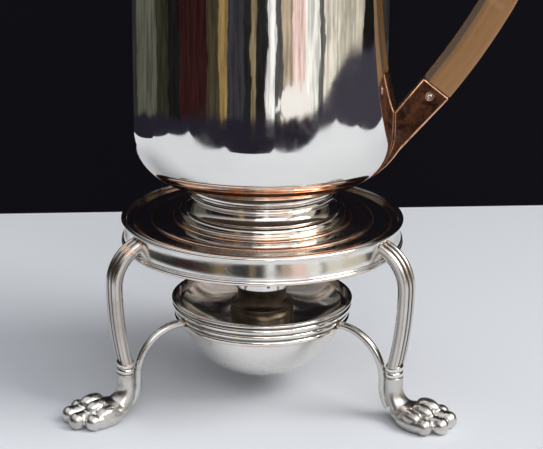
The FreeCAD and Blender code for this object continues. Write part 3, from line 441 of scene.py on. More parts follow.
def weigh_sharp_edges(obj, amount):
    """Store how much of a bevel every sharp edge gets, from a share of 0 to 1 at its middle."""
    sides = {}
    for face in obj.data.polygons:
        for key in face.edge_keys:
            sides.setdefault(key, []).append(face.normal)
    shares = []
    for edge in obj.data.edges:
        normals = sides.get(edge.key, ())
        sharp = len(normals) == 2 and normals[0].angle(normals[1]) > math.radians(30)
        first, second = (obj.data.vertices[index].co for index in edge.vertices)
        shares.append(amount((first + second) / 2) if sharp else 0.0)
    weights = obj.data.attributes.new("bevel_weight_edge", "FLOAT", "EDGE")
    weights.data.foreach_set("value", shares)


def eased_copy(node, name, width, amount=None):
    """A welded copy of a flat-sided node with eased edges, and its edges marked as worn, the downward-facing edges
    marked fully as a painted highlight.
    """
    obj = bpy.data.objects.new(name, frame["nodes"][node].data.copy())
    bpy.context.scene.collection.objects.link(obj)
    obj.data.name = name
    obj.data.materials.clear()
    edit(obj)
    bpy.ops.mesh.customdata_custom_splitnormals_clear()
    bpy.ops.mesh.remove_doubles(threshold=WELD * 2)
    bpy.ops.mesh.dissolve_limited(angle_limit=math.radians(1))
    to_object_mode()
    flat = bpy.data.materials.new("Flat side")
    round_edge = bpy.data.materials.new("Round edge")
    obj.data.materials.append(flat)
    obj.data.materials.append(round_edge)
    weigh_sharp_edges(obj, amount or (lambda point: 1.0))
    apply_modifier(
        obj,
        "BEVEL",
        width=width * MM,
        segments=4,
        limit_method="WEIGHT",
        use_clamp_overlap=amount is None,
        material=1,
    )
    smooth(obj)
    panels = set()
    for face in obj.data.polygons:
        if face.material_index == 0 and abs(face.normal.y) > 0.9:
            panels.update(face.vertices)
    worn = obj.data.attributes.new("worn", "FLOAT", "POINT")
    # Edges get a share of 0.55 of rubbed copper; edges facing down get the full share, a painted highlight of the lit
    # table below.
    shares = [
        0.0 if point.index in panels else 1.0 if point.normal.z < 0 else 0.55
        for point in obj.data.vertices
    ]
    worn.data.foreach_set("value", shares)
    obj.data.polygons.foreach_set("material_index", [0] * len(obj.data.polygons))
    for spare in (flat, round_edge):
        bpy.data.materials.remove(spare)
    return obj


def placed_sphere(centre, radii, turn=0.0, lean=0.0):
    """A stretched ball for a lump of the paw."""
    to_object_mode()
    bpy.ops.mesh.primitive_uv_sphere_add(
        segments=32, ring_count=20, radius=MM, location=Vector(centre) * MM, scale=radii
    )
    ball = bpy.context.active_object
    ball.rotation_euler = (0, lean, turn)
    pick(ball)
    bpy.ops.object.transform_apply(location=True, rotation=True, scale=True)
    return ball


def near(value, places, reach):
    """1 at any of the places, fading to 0 at the reach."""
    return max(0.0, 1.0 - min(abs(value - place) for place in places) / reach)


def mark(obj, name, amount):
    """Keep a share at every point, which the finishes read as wear and dirt, and for some marks as painted shade."""
    layer = obj.data.attributes.new(name, "FLOAT", "POINT")
    layer.data.foreach_set("value", [amount(*(vertex.co / MM)) for vertex in obj.data.vertices])
    return obj


def show(obj, body, finish, *nodes):
    """Give a finished piece its material, its body and the CAD nodes it stands for."""
    obj.data.materials.clear()
    obj.data.materials.append(finish)
    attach(obj, body)
    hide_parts(*nodes)
    return obj


# Finishes


def add_node(tree, kind, inputs=None, **settings):
    """A shader node with its settings; an input is a plain value or another node's output."""
    node = tree.nodes.new(kind)
    for name, value in settings.items():
        setattr(node, name, value)
    for name, value in (inputs or {}).items():
        socket = node.inputs[name]
        if isinstance(value, bpy.types.NodeSocket):
            tree.links.new(value, socket)
        else:
            socket.default_value = value
    return node


def math_node(tree, operation, first, second=0.5, clamp=False):
    node = add_node(tree, "ShaderNodeMath", {0: first, 1: second}, operation=operation)
    node.use_clamp = clamp
    return node.outputs[0]


def mapped(tree, value, low, high, to_low=0.0, to_high=1.0, kind="SMOOTHSTEP"):
    node = add_node(
        tree,
        "ShaderNodeMapRange",
        {"Value": value, "From Min": low, "From Max": high, "To Min": to_low, "To Max": to_high},
        interpolation_type=kind,
    )
    return node.outputs["Result"]


def mixed(tree, factor, first, second):
    node = add_node(tree, "ShaderNodeMix", {}, data_type="RGBA")
    for index, value in ((0, factor), (6, first), (7, second)):
        if isinstance(value, bpy.types.NodeSocket):
            tree.links.new(value, node.inputs[index])
        else:
            node.inputs[index].default_value = value
    return node.outputs[2]


def noise(tree, place, scale, detail=2.0, roughness=0.5, distortion=0.0):
    node = add_node(
        tree,
        "ShaderNodeTexNoise",
        {
            "Vector": place,
            "Scale": scale,
            "Detail": detail,
            "Roughness": roughness,
            "Distortion": distortion,
        },
    )
    return node.outputs["Fac"]


def rgba(value):
    return (*value, 1.0)


def new_group(name, inputs, outputs):
    """An empty shader group: inputs and outputs are (name, socket type, default)."""
    tree = bpy.data.node_groups.new(name, "ShaderNodeTree")
    for title, kind, default in inputs:
        socket = tree.interface.new_socket(name=title, in_out="INPUT", socket_type=kind)
        if default is not None:
            socket.default_value = default
    for title, kind in outputs:
        tree.interface.new_socket(name=title, in_out="OUTPUT", socket_type=kind)
    return tree, tree.nodes.new("NodeGroupInput").outputs, tree.nodes.new("NodeGroupOutput").inputs


def edge_wear_group():
    """Where hands and cloths have rubbed the plate off: raised edges, broken up by noise."""
    tree, given, out = new_group(
        "Edge wear",
        [
            ("Place", "NodeSocketVector", None),
            ("Amount", "NodeSocketFloat", 0.5),
            ("Start", "NodeSocketFloat", 0.53),
            ("End", "NodeSocketFloat", 0.60),
            ("Marked", "NodeSocketFloat", 0.0),
        ],
        [("Mask", "NodeSocketFloat")],
    )
    sharp = add_node(tree, "ShaderNodeNewGeometry").outputs["Pointiness"]
    edge = mapped(tree, sharp, given["Start"], given["End"])
    edge = math_node(tree, "MAXIMUM", edge, given["Marked"])
    patches = noise(tree, given["Place"], 90.0, 3.0, 0.6)
    worn = mapped(tree, patches, 0.30, 0.56)
    rubbed = math_node(tree, "MULTIPLY", edge, worn)
    tree.links.new(math_node(tree, "MULTIPLY", rubbed, given["Amount"], True), out["Mask"])
    return tree


def band_reflection_group():
    """A painted copper reflection: a belt round an upright piece at one height."""
    tree, given, out = new_group(
        "Band copper reflection",
        [
            ("Place", "NodeSocketVector", None),
            ("Height", "NodeSocketFloat", 0.1),
            ("Half width", "NodeSocketFloat", 0.002),
            ("Amount", "NodeSocketFloat", 0.5),
        ],
        [("Mask", "NodeSocketFloat")],
    )
    height = add_node(tree, "ShaderNodeSeparateXYZ", {0: given["Place"]}).outputs["Z"]
    wobble = math_node(tree, "MULTIPLY", math_node(tree, "SUBTRACT", noise(tree, given["Place"], 45.0)), 0.004)
    away = math_node(tree, "ABSOLUTE", math_node(tree, "SUBTRACT", math_node(tree, "ADD", height, wobble), given["Height"]))
    reflection_belt = mapped(tree, math_node(tree, "DIVIDE", away, given["Half width"]), 1.0, 0.35)
    patches = mapped(tree, noise(tree, given["Place"], 130.0, 4.0, 0.65), 0.30, 0.56)
    rubbed = math_node(tree, "MULTIPLY", reflection_belt, patches)
    tree.links.new(math_node(tree, "MULTIPLY", rubbed, given["Amount"], True), out["Mask"])
    return tree


def tarnish_group():
    """Thin brown film, thicker in hollows, in cloudy patches and at marked places; the marks on the legs' sides stand
    for painted shade.
    """
    tree, given, out = new_group(
        "Tarnish",
        [
            ("Place", "NodeSocketVector", None),
            ("Amount", "NodeSocketFloat", 0.2),
            ("Hollows", "NodeSocketFloat", 0.6),
            ("Marked", "NodeSocketFloat", 0.0),
        ],
        [("Mask", "NodeSocketFloat")],
    )
    clouds = mapped(tree, noise(tree, given["Place"], 38.0, 4.0, 0.6), 0.42, 0.78)
    film = math_node(tree, "MULTIPLY", clouds, given["Amount"])
    sharp = add_node(tree, "ShaderNodeNewGeometry").outputs["Pointiness"]
    dirt_and_shade = math_node(tree, "MAXIMUM", mapped(tree, sharp, 0.48, 0.42), given["Marked"])
    dirt_and_shade = math_node(tree, "MULTIPLY", dirt_and_shade, given["Hollows"])
    tree.links.new(math_node(tree, "MAXIMUM", film, dirt_and_shade, True), out["Mask"])
    return tree


def ripple_group():
    """Heights of hand-planished metal: soft waves and small hammer marks."""
    tree, given, out = new_group(
        "Planished waves",
        [
            ("Place", "NodeSocketVector", None),
            ("Waves", "NodeSocketFloat", 60.0),
            ("Marks", "NodeSocketFloat", 220.0),
            ("Mark share", "NodeSocketFloat", 0.3),
        ],
        [("Height", "NodeSocketFloat")],
    )
    waves = noise(tree, given["Place"], given["Waves"], 1.0, 0.4)
    marks = noise(tree, given["Place"], given["Marks"], 1.0, 0.4)
    small = math_node(tree, "MULTIPLY", marks, given["Mark share"])
    tree.links.new(math_node(tree, "ADD", waves, small), out["Height"])
    return tree


def polish_group():
    """Roughness of old polish: hairline scratches over a cloudy gloss."""
    tree, given, out = new_group(
        "Old polish",
        [
            ("Place", "NodeSocketVector", None),
            ("Gloss", "NodeSocketFloat", 0.08),
            ("Spread", "NodeSocketFloat", 0.10),
        ],
        [("Roughness", "NodeSocketFloat")],
    )
    cloudy = mapped(tree, noise(tree, given["Place"], 55.0, 5.0, 0.65), 0.40, 0.75)
    thin = add_node(
        tree, "ShaderNodeMapping", {"Vector": given["Place"], "Scale": (2600.0, 2600.0, 160.0)}
    ).outputs["Vector"]
    hairs = mapped(tree, noise(tree, thin, 1.0, 2.0, 0.7), 0.60, 0.74)
    dull = math_node(tree, "ADD", cloudy, math_node(tree, "MULTIPLY", hairs, 0.45))
    spread = math_node(tree, "MULTIPLY", dull, given["Spread"])
    tree.links.new(math_node(tree, "ADD", spread, given["Gloss"], True), out["Roughness"])
    return tree


def grain_group():
    """Long wood grain along the first axis of the given place."""
    tree, given, out = new_group(
        "Wood grain",
        [("Place", "NodeSocketVector", None), ("Fineness", "NodeSocketFloat", 1.0)],
        [("Rings", "NodeSocketFloat"), ("Pores", "NodeSocketFloat")],
    )
    place = add_node(
        tree, "ShaderNodeVectorMath", {0: given["Place"]}, operation="SCALE"
    )
    tree.links.new(given["Fineness"], place.inputs["Scale"])
    long_place = add_node(
        tree, "ShaderNodeMapping", {"Vector": place.outputs[0], "Scale": (9.0, 420.0, 420.0)}
    ).outputs["Vector"]
    rings = noise(tree, long_place, 1.0, 4.0, 0.55, 0.15)
    pore_place = add_node(
        tree, "ShaderNodeMapping", {"Vector": place.outputs[0], "Scale": (110.0, 2400.0, 2400.0)}
    ).outputs["Vector"]
    pores = mapped(tree, noise(tree, pore_place, 1.0, 2.0, 0.6), 0.60, 0.72)
    tree.links.new(rings, out["Rings"])
    tree.links.new(pores, out["Pores"])
    return tree


GROUP_MAKERS = {
    "Edge wear": edge_wear_group,
    "Band copper reflection": band_reflection_group,
    "Tarnish": tarnish_group,
    "Planished waves": ripple_group,
    "Old polish": polish_group,
    "Wood grain": grain_group,
}


def use_group(tree, name, **inputs):
    """One of the shared groups, built at its first use."""
    shared = bpy.data.node_groups.get(name) or GROUP_MAKERS[name]()
    node = tree.nodes.new("ShaderNodeGroup")
    node.node_tree = shared
    for title, value in inputs.items():
        socket = node.inputs[title.replace("_", " ")]
        if isinstance(value, bpy.types.NodeSocket):
            tree.links.new(value, socket)
        else:
            socket.default_value = value
    return node.outputs


def new_material(name):
    material = bpy.data.materials.new(name)
    material.use_nodes = True
    tree = material.node_tree
    shader = tree.nodes["Principled BSDF"]
    place = add_node(tree, "ShaderNodeTexCoord").outputs["Object"]
    return material, tree, shader, place


def finish_normal(tree, shader, height, strength, distance):
    bump = add_node(
        tree, "ShaderNodeBump", {"Height": height, "Strength": strength, "Distance": distance * MM}
    )
    tree.links.new(bump.outputs["Normal"], shader.inputs["Normal"])


def silver(
    name,
    gloss=0.07,
    spread=0.10,
    wear=1.0,
    film=0.12,
    hollows=0.6,
    waves=55.0,
    wave_depth=0.25,
    shade=1.0,
    bands=(),
):
    """Old silver plate: polished, softly uneven, browned in corners, copper at the edges; marked places are partly
    browned as painted shade, marked edges partly lit as a painted highlight, and each given band is a painted copper
    reflection.
    """
    made = bpy.data.materials.get(name)
    if made:
        return made
    looks = bpy.context.scene.coffee_looks
    material, tree, shader, place = new_material(name)
    marked_dirt_and_shade = add_node(tree, "ShaderNodeAttribute", attribute_name="dirt_and_shade").outputs["Fac"]
    # Marks read as tarnish and rubbed copper, partly as painted shade and painted highlight.
    wear_and_highlight = add_node(tree, "ShaderNodeAttribute", attribute_name="worn").outputs["Fac"]
    film_mask = use_group(tree, "Tarnish", Place=place, Amount=film, Hollows=hollows, Marked=marked_dirt_and_shade)["Mask"]
    worn = use_group(tree, "Edge wear", Place=place, Amount=wear * looks.edge_wear * 1.6, Marked=wear_and_highlight)["Mask"]
    # Each band adds a painted copper reflection to the worn mask.
    for height, half_width, amount in bands:
        reflection_belt = use_group(
            tree, "Band copper reflection", Place=place, Height=height * MM, Half_width=half_width * MM, Amount=amount
        )["Mask"]
        worn = math_node(tree, "MAXIMUM", worn, reflection_belt)
    plate = mixed(tree, film_mask, rgba([value * shade for value in looks.silver]), rgba(looks.tarnish))
    tree.links.new(mixed(tree, worn, plate, rgba(looks.copper)), shader.inputs["Base Color"])
    shader.inputs["Metallic"].default_value = 1.0
    rough = use_group(tree, "Old polish", Place=place, Gloss=gloss, Spread=spread)["Roughness"]
    rough = math_node(tree, "ADD", rough, math_node(tree, "MULTIPLY", film_mask, 0.16))
    rough = math_node(tree, "ADD", rough, math_node(tree, "MULTIPLY", worn, 0.08), True)
    tree.links.new(rough, shader.inputs["Roughness"])
    height = use_group(tree, "Planished waves", Place=place, Waves=waves)["Height"]
    finish_normal(tree, shader, height, 1.0, wave_depth)
    return material


def body_silver():
    pot = in_mm(bpy.context.scene.coffee_pot)
    # The copper belt round the body's rounded bottom is a painted reflection of the stand's copper.
    reflection_belt = pot.body_bottom + 3.2
    return silver(
        "Body plate", gloss=0.02, spread=0.05, film=0.05, wave_depth=0.010, bands=((reflection_belt, 4.4, 0.85),)
    )


def band_silver():
    return silver("Band plate", gloss=0.13, spread=0.14, wear=0.6, film=0.16, wave_depth=0.03)


def moulding_silver():
    return silver("Moulding plate", gloss=0.07, spread=0.12, wear=1.3, film=0.24, hollows=0.9, wave_depth=0.10)


def leg_silver():
    return silver(
        "Leg plate", gloss=0.15, spread=0.16, wear=1.2, film=0.45, hollows=1.0, wave_depth=0.05, shade=0.80
    )


def paw_silver():
    return silver(
        "Paw plate", gloss=0.24, spread=0.14, wear=0.35, film=0.55, hollows=1.0, wave_depth=0.03, shade=0.80
    )


def satin_silver():
    return silver("Lamp bowl plate", gloss=0.24, spread=0.06, wear=0.0, film=0.06, hollows=0.0, wave_depth=0.01)


def dish_silver():
    return silver("Lamp cover plate", gloss=0.10, spread=0.14, wear=0.5, film=0.30, wave_depth=0.10)


def small_silver():
    return silver("Small fittings plate", gloss=0.10, spread=0.12, wear=1.0, film=0.2, hollows=0.8, wave_depth=0.08)


def sooty_silver():
    return silver("Sooty plate", gloss=0.35, spread=0.2, wear=0.0, film=0.5, hollows=1.0, wave_depth=0.1)


def bright_silver():
    return silver("Gallery plate", gloss=0.12, spread=0.10, wear=0.0, film=0.05, hollows=0.2, wave_depth=0.05)


def socket_copper():
    """Dull copper with grey rests of plate, rubbed bright along the edges; the lower edges are brightest as a painted
    highlight.
    """
    made = bpy.data.materials.get("Socket copper")
    if made:
        return made
    looks = bpy.context.scene.coffee_looks
    material, tree, shader, place = new_material("Socket copper")
    # The worn mark is rubbed copper, full on the lower edges as a painted highlight.
    edge = add_node(tree, "ShaderNodeAttribute", attribute_name="worn").outputs["Fac"]
    streaks = mapped(tree, noise(tree, place, 160.0, 4.0, 0.6), 0.30, 0.60, 0.25, 1.0)
    edge = math_node(tree, "MULTIPLY", edge, streaks)
    patches = mapped(tree, noise(tree, place, 120.0, 5.0, 0.62, 0.4), 0.56, 0.70, 0.0, 0.7)
    stains = mapped(tree, noise(tree, place, 260.0, 4.0, 0.6), 0.40, 0.68)
    panel = mixed(tree, stains, rgba(looks.socket), (0.035, 0.016, 0.010, 1.0))
    panel = mixed(tree, patches, panel, (0.11, 0.11, 0.11, 1.0))
    tree.links.new(mixed(tree, edge, panel, rgba(looks.socket_edge)), shader.inputs["Base Color"])
    shader.inputs["Metallic"].default_value = 0.95
    rough = use_group(tree, "Old polish", Place=place, Gloss=0.30, Spread=0.22)["Roughness"]
    rough = math_node(tree, "MULTIPLY", rough, mapped(tree, edge, 0.0, 1.0, 1.0, 0.5, "LINEAR"))
    tree.links.new(rough, shader.inputs["Roughness"])
    height = use_group(tree, "Planished waves", Place=place, Waves=140.0, Marks=900.0)["Height"]
    finish_normal(tree, shader, height, 1.0, 0.10)
    return material


def burner_metal():
    made = bpy.data.materials.get("Browned burner")
    if made:
        return made
    looks = bpy.context.scene.coffee_looks
    material, tree, shader, place = new_material("Browned burner")
    edge = use_group(tree, "Edge wear", Place=place, Amount=1.2)["Mask"]
    patches = mapped(tree, noise(tree, place, 160.0, 5.0, 0.6), 0.36, 0.70)
    brown = mixed(tree, patches, rgba(looks.burner), (0.08, 0.06, 0.045, 1.0))
    tree.links.new(mixed(tree, edge, brown, (0.75, 0.55, 0.28, 1.0)), shader.inputs["Base Color"])
    shader.inputs["Metallic"].default_value = 0.9
    rough = use_group(tree, "Old polish", Place=place, Gloss=0.30, Spread=0.25)["Roughness"]
    tree.links.new(rough, shader.inputs["Roughness"])
    height = use_group(tree, "Planished waves", Place=place, Waves=200.0, Marks=1200.0)["Height"]
    finish_normal(tree, shader, height, 1.0, 0.08)
    return material


def fruitwood(name, turned_piece=False):
    """Satin fruitwood; the handle reads its grain along its bow, the knob along its own height."""
    looks = bpy.context.scene.coffee_looks
    material, tree, shader, place = new_material(name)
    if turned_piece:
        place = add_node(
            tree, "ShaderNodeMapping", {"Vector": place, "Rotation": (0, QUARTER_TURN, 0)}
        ).outputs["Vector"]
    else:
        place = add_node(tree, "ShaderNodeAttribute", attribute_name="grain").outputs["Vector"]
    grain = use_group(tree, "Wood grain", Place=place, Fineness=1.0)
    rings = mapped(tree, grain["Rings"], 0.22, 0.72)
    wood = mixed(tree, rings, rgba(looks.wood_dark), rgba(looks.wood_light))
    dark = mixed(tree, math_node(tree, "MULTIPLY", grain["Pores"], 0.55), wood, (0.10, 0.045, 0.02, 1.0))
    edge = use_group(tree, "Edge wear", Place=place, Amount=0.35, Start=0.515, End=0.57)["Mask"]
    rubbed = mixed(tree, edge, dark, (0.42, 0.25, 0.13, 1.0))
    # The handle's inner chamfer is darkened to grey-brown as painted shade; the same mark dulls it and takes its coat
    # away.
    chamfer_shade = add_node(tree, "ShaderNodeAttribute", attribute_name="dirt_and_shade").outputs["Fac"]
    chamfer_shaded = mixed(tree, math_node(tree, "MULTIPLY", chamfer_shade, 0.85), rubbed, (0.075, 0.068, 0.060, 1.0))
    tree.links.new(chamfer_shaded, shader.inputs["Base Color"])
    rough = mapped(tree, grain["Pores"], 0.0, 1.0, 0.40, 0.6, "LINEAR")
    dull = math_node(tree, "MULTIPLY", chamfer_shade, 0.5)
    tree.links.new(math_node(tree, "ADD", rough, dull, True), shader.inputs["Roughness"])
    tree.links.new(mapped(tree, chamfer_shade, 0.0, 0.5, 0.10, 0.0), shader.inputs["Coat Weight"])
    shader.inputs["Specular IOR Level"].default_value = 0.25
    shader.inputs["Coat Roughness"].default_value = 0.25
    height = math_node(tree, "SUBTRACT", math_node(tree, "MULTIPLY", grain["Rings"], 0.4), grain["Pores"])
    finish_normal(tree, shader, height, 0.6, 0.06)
    return material


def wick_cotton():
    looks = bpy.context.scene.coffee_looks
    material, tree, shader, place = new_material("Wick cotton")
    flecks = mapped(tree, noise(tree, place, 700.0, 3.0), 0.3, 0.7)
    height = add_node(tree, "ShaderNodeSeparateXYZ", {0: place}).outputs["Z"]
    char = mapped(tree, height, 0.0560, 0.0577)
    cotton = mixed(tree, flecks, rgba(looks.wick), (0.55, 0.49, 0.40, 1.0))
    tree.links.new(mixed(tree, char, cotton, (0.03, 0.025, 0.02, 1.0)), shader.inputs["Base Color"])
    shader.inputs["Roughness"].default_value = 0.9
    finish_normal(tree, shader, flecks, 0.8, 0.15)
    return material


# Pieces


def reed(radius, low, high, proud):
    """Corner that ends a round reed on an upright wall, which the way runs up."""
    half = (high - low) / 2
    return (radius, high, (half * half + proud * proud) / (2 * proud))


class COFFEE_OT_stand_top(bpy.types.Operator):
    """Plate, band and moulding wires of the stand"""

    bl_idname = "coffee.stand_top"
    bl_label = "Stand top"

    def execute(self, context):
        s = in_mm(context.scene.coffee_stand)
        plate = self.plate(s)
        show(plate, "stand", moulding_silver(), "stand_plate")
        span = node_span("stand_apron")
        band = turned(
            "band",
            [
                (s.band_radius - s.band_wall, span.bottom),
                (s.band_radius, span.bottom),
                (s.band_radius, span.bottom + 3.4),
                (s.band_radius - s.band_taper, span.top - 1.6, -90.0),
                (s.band_radius - s.band_taper, span.top),
                (s.band_radius - s.band_wall, span.top),
            ],
            pitch=2.0,
        )
        dent(band, 15.0, 0.08)
        show(band, "stand", band_silver(), "stand_apron")
        show(self.rim_wire(s), "stand", moulding_silver(), "stand_rim_wire")
        show(self.lower_wire(s), "stand", moulding_silver(), "stand_lower_wire")
        return {"FINISHED"}

    def plate(self, s):
        """Seat, two reeded steps and the channel inside the rim."""
        half_reed = 1.15
        proud = 0.42
        levels = [s.seat_height - index * s.step_drop for index in range(4)]
        edge = s.band_radius - s.band_wall - 0.1
        top = [
            (s.hole_radius, levels[0] - s.plate_wall),
            (s.hole_radius, levels[0]),
            (s.seat_radius - 0.9, levels[0]),
            (s.seat_radius + 0.3, levels[1], -1.3),
        ]
        for radius, high, low in (
            (s.inner_reed, levels[1], levels[2]),
            (s.outer_reed, levels[2], levels[3]),
        ):
            bow = (half_reed * half_reed + proud * proud) / (2 * proud)
            top += [(radius - half_reed, high), (radius + half_reed, high - proud, -bow), (radius + half_reed, low)]
        under = [
            (edge, levels[3]),
            (edge, levels[3] - s.plate_wall),
            (s.outer_reed, levels[3] - s.plate_wall),
            (s.inner_reed, levels[2] - s.plate_wall),
            (s.seat_radius, levels[1] - s.plate_wall),
        ]
        plate = soften(turned("seat_plate", top + under, pitch=0.9), 0.12)
        edges = (s.seat_radius - 0.3, s.inner_reed, s.outer_reed)
        mark(plate, "worn", lambda x, y, z: near(math.hypot(x, y), edges, 1.6))
        corners = (s.seat_radius + 0.6, s.inner_reed + half_reed + 0.1, s.outer_reed + half_reed + 0.1)
        return mark(plate, "dirt_and_shade", lambda x, y, z: near(math.hypot(x, y), corners, 0.9))

    def rim_wire(self, s):
        """Rounded lip with a fine groove inside it."""
        span = node_span("stand_rim_wire")
        inner = s.band_radius - s.band_wall
        shoulder = span.radius - 0.3
        return turned(
            "rim_wire",
            [
                (inner, span.bottom),
                (shoulder, span.bottom),
                reed(shoulder, span.bottom, span.top, 0.3),
                (shoulder - 0.55, span.top),
                (shoulder - 0.85, span.top - 0.45, 0.5),
                (inner + 0.35, span.top - 0.05),
                (inner, span.top - 0.5, 0.6),
            ],
        )

    def lower_wire(self, s):
        """A bead with a thread above it."""
        span = node_span("stand_lower_wire")
        inner = s.band_radius + 0.1
        split = span.bottom + (span.top - span.bottom) * 0.66
        return self.marked_wire(turned(
            "lower_wire",
            [
                (inner, span.bottom),
                (inner + 0.15, span.bottom),
                reed(inner + 0.15, span.bottom, split, 0.62),
                (inner + 0.15, split + 0.12),
                reed(inner + 0.15, split + 0.12, span.top, 0.36),
                (inner, span.top),
            ],
        ), span)

    def marked_wire(self, wire, span):
        """Copper shows along the underside of the bead."""
        low = span.bottom + 0.25
        return mark(wire, "worn", lambda x, y, z: near(z, (low,), 0.5))


class COFFEE_OT_stand_legs(bpy.types.Operator):
    """Reeded legs with their double ankle rings"""

    bl_idname = "coffee.stand_legs"
    bl_label = "Legs and collars"
    reeds = 3

    def execute(self, context):
        s = in_mm(context.scene.coffee_stand)
        leg = self.leg(s)
        collar = self.collar(s)
        for index, name in enumerate(LEGS):
            turn = s.leg_turn + FULL_TURN / len(LEGS) * index
            for model, title in ((leg, "leg"), (collar, "collar")):
                piece = set_in_place(copy_of(model, f"{title}_piece_{name}"), turn)
                finish = leg_silver() if title == "leg" else moulding_silver()
                show(piece, "stand", finish, f"{title}_{name}")
        for model in (leg, collar):
            bpy.data.objects.remove(model, do_unlink=True)
        return {"FINISHED"}

    def leg(self, s):
        """Strap with three reeds, bent over the knee and bowed in to the ankle."""
        start = s.band_radius + 0.1
        knee = (s.band_radius + s.knee_out, s.leg_height - s.knee_drop)
        ankle = (s.band_radius + s.leg_out, s.collar_top - 0.8)
        upper, lower = (self.upright_bend(knee, end) for end in ((start, s.leg_height), ankle))
        half = s.leg_width / 2
        back = knee[0] - s.leg_thickness / 2
        front = knee[0] + s.leg_thickness / 2 - s.leg_reed_rise
        pitch = s.leg_width / self.reeds
        crown = pitch / 2 - 0.2
        bow = (crown * crown + s.leg_reed_rise * s.leg_reed_rise) / (2 * s.leg_reed_rise)
        ease = 2.0
        draft = 0.3
        line = 0.7
        section = [(back + ease, draft - half), (front - line, draft / 2 - half), (front, -half)]
        for index in range(self.reeds):
            middle = pitch * (index + 0.5) - half
            section += [(front, middle - crown), (front, middle + crown, bow)]
        section += [(front, half), (front - line, half - draft / 2), (back + ease, half - draft)]
        section += [(back, half - draft - ease, ease), (back, draft + ease - half)]
        section.append((back + ease, draft - half, ease))
        into_band = math.radians(9)
        leg = swept(
            "leg_model",
            section[:-1] + [section[-1]],
            knee[1],
            [("bend", lower.sweep, lower.centre, 14), ("bend", upper.sweep + into_band, upper.centre, 20)],
            plane="XY",
            swing=(-lower.sweep, lower.centre),
        )
        for place, way in (((start - 0.9, 0, 0), (-1, 0, 0)), ((0, 0, s.collar_top - 0.4), (0, 0, -1))):
            edit(leg)
            bpy.ops.mesh.bisect(
                plane_co=Vector(place) * MM, plane_no=way, use_fill=True, clear_inner=False, clear_outer=True
            )
            weld_and_turn_out()
        to_object_mode()
        grooves = [pitch * index - half for index in range(1, self.reeds)]
        side = half - draft
        groove_dirt = 1.8
        # The grooves take tarnish; the strap's flat sides are darkened as painted shade.
        mark(leg, "dirt_and_shade", lambda x, y, z: max(groove_dirt * near(y, grooves, 1.0), 0.7 * near(abs(y), (side,), 0.12)))
        mark(leg, "worn", lambda x, y, z: 0.6 * near(abs(y), (half,), draft / 2))
        return smooth(leg, 50)

    def upright_bend(self, knee, end):
        """Arc that stands upright at the knee and runs in to the end: its centre and sweep."""
        out = knee[0] - end[0]
        rise = abs(end[1] - knee[1])
        radius = (out * out + rise * rise) / (2 * out)
        return SimpleNamespace(centre=(knee[0] - radius, knee[1]), sweep=math.asin(rise / radius))

    def collar(self, s):
        low = s.collar_top - s.collar_height
        middle = low + s.collar_height / 2
        proud = 0.5
        core = s.collar_radius - proud
        model = turned(
            "collar_model",
            [
                (0, low),
                (core, low),
                reed(core, low, middle - 0.15, proud),
                (core, middle + 0.15),
                reed(core, middle + 0.15, s.collar_top, proud),
                (0, s.collar_top),
            ],
            steps=64,
        )
        mark(model, "dirt_and_shade", lambda x, y, z: near(z, (low, middle, s.collar_top), 0.5))
        edit(model)
        bpy.ops.transform.resize(value=(s.ankle_flat, 1, 1))
        return set_in_place(model, 0.0, s.band_radius + s.leg_out)


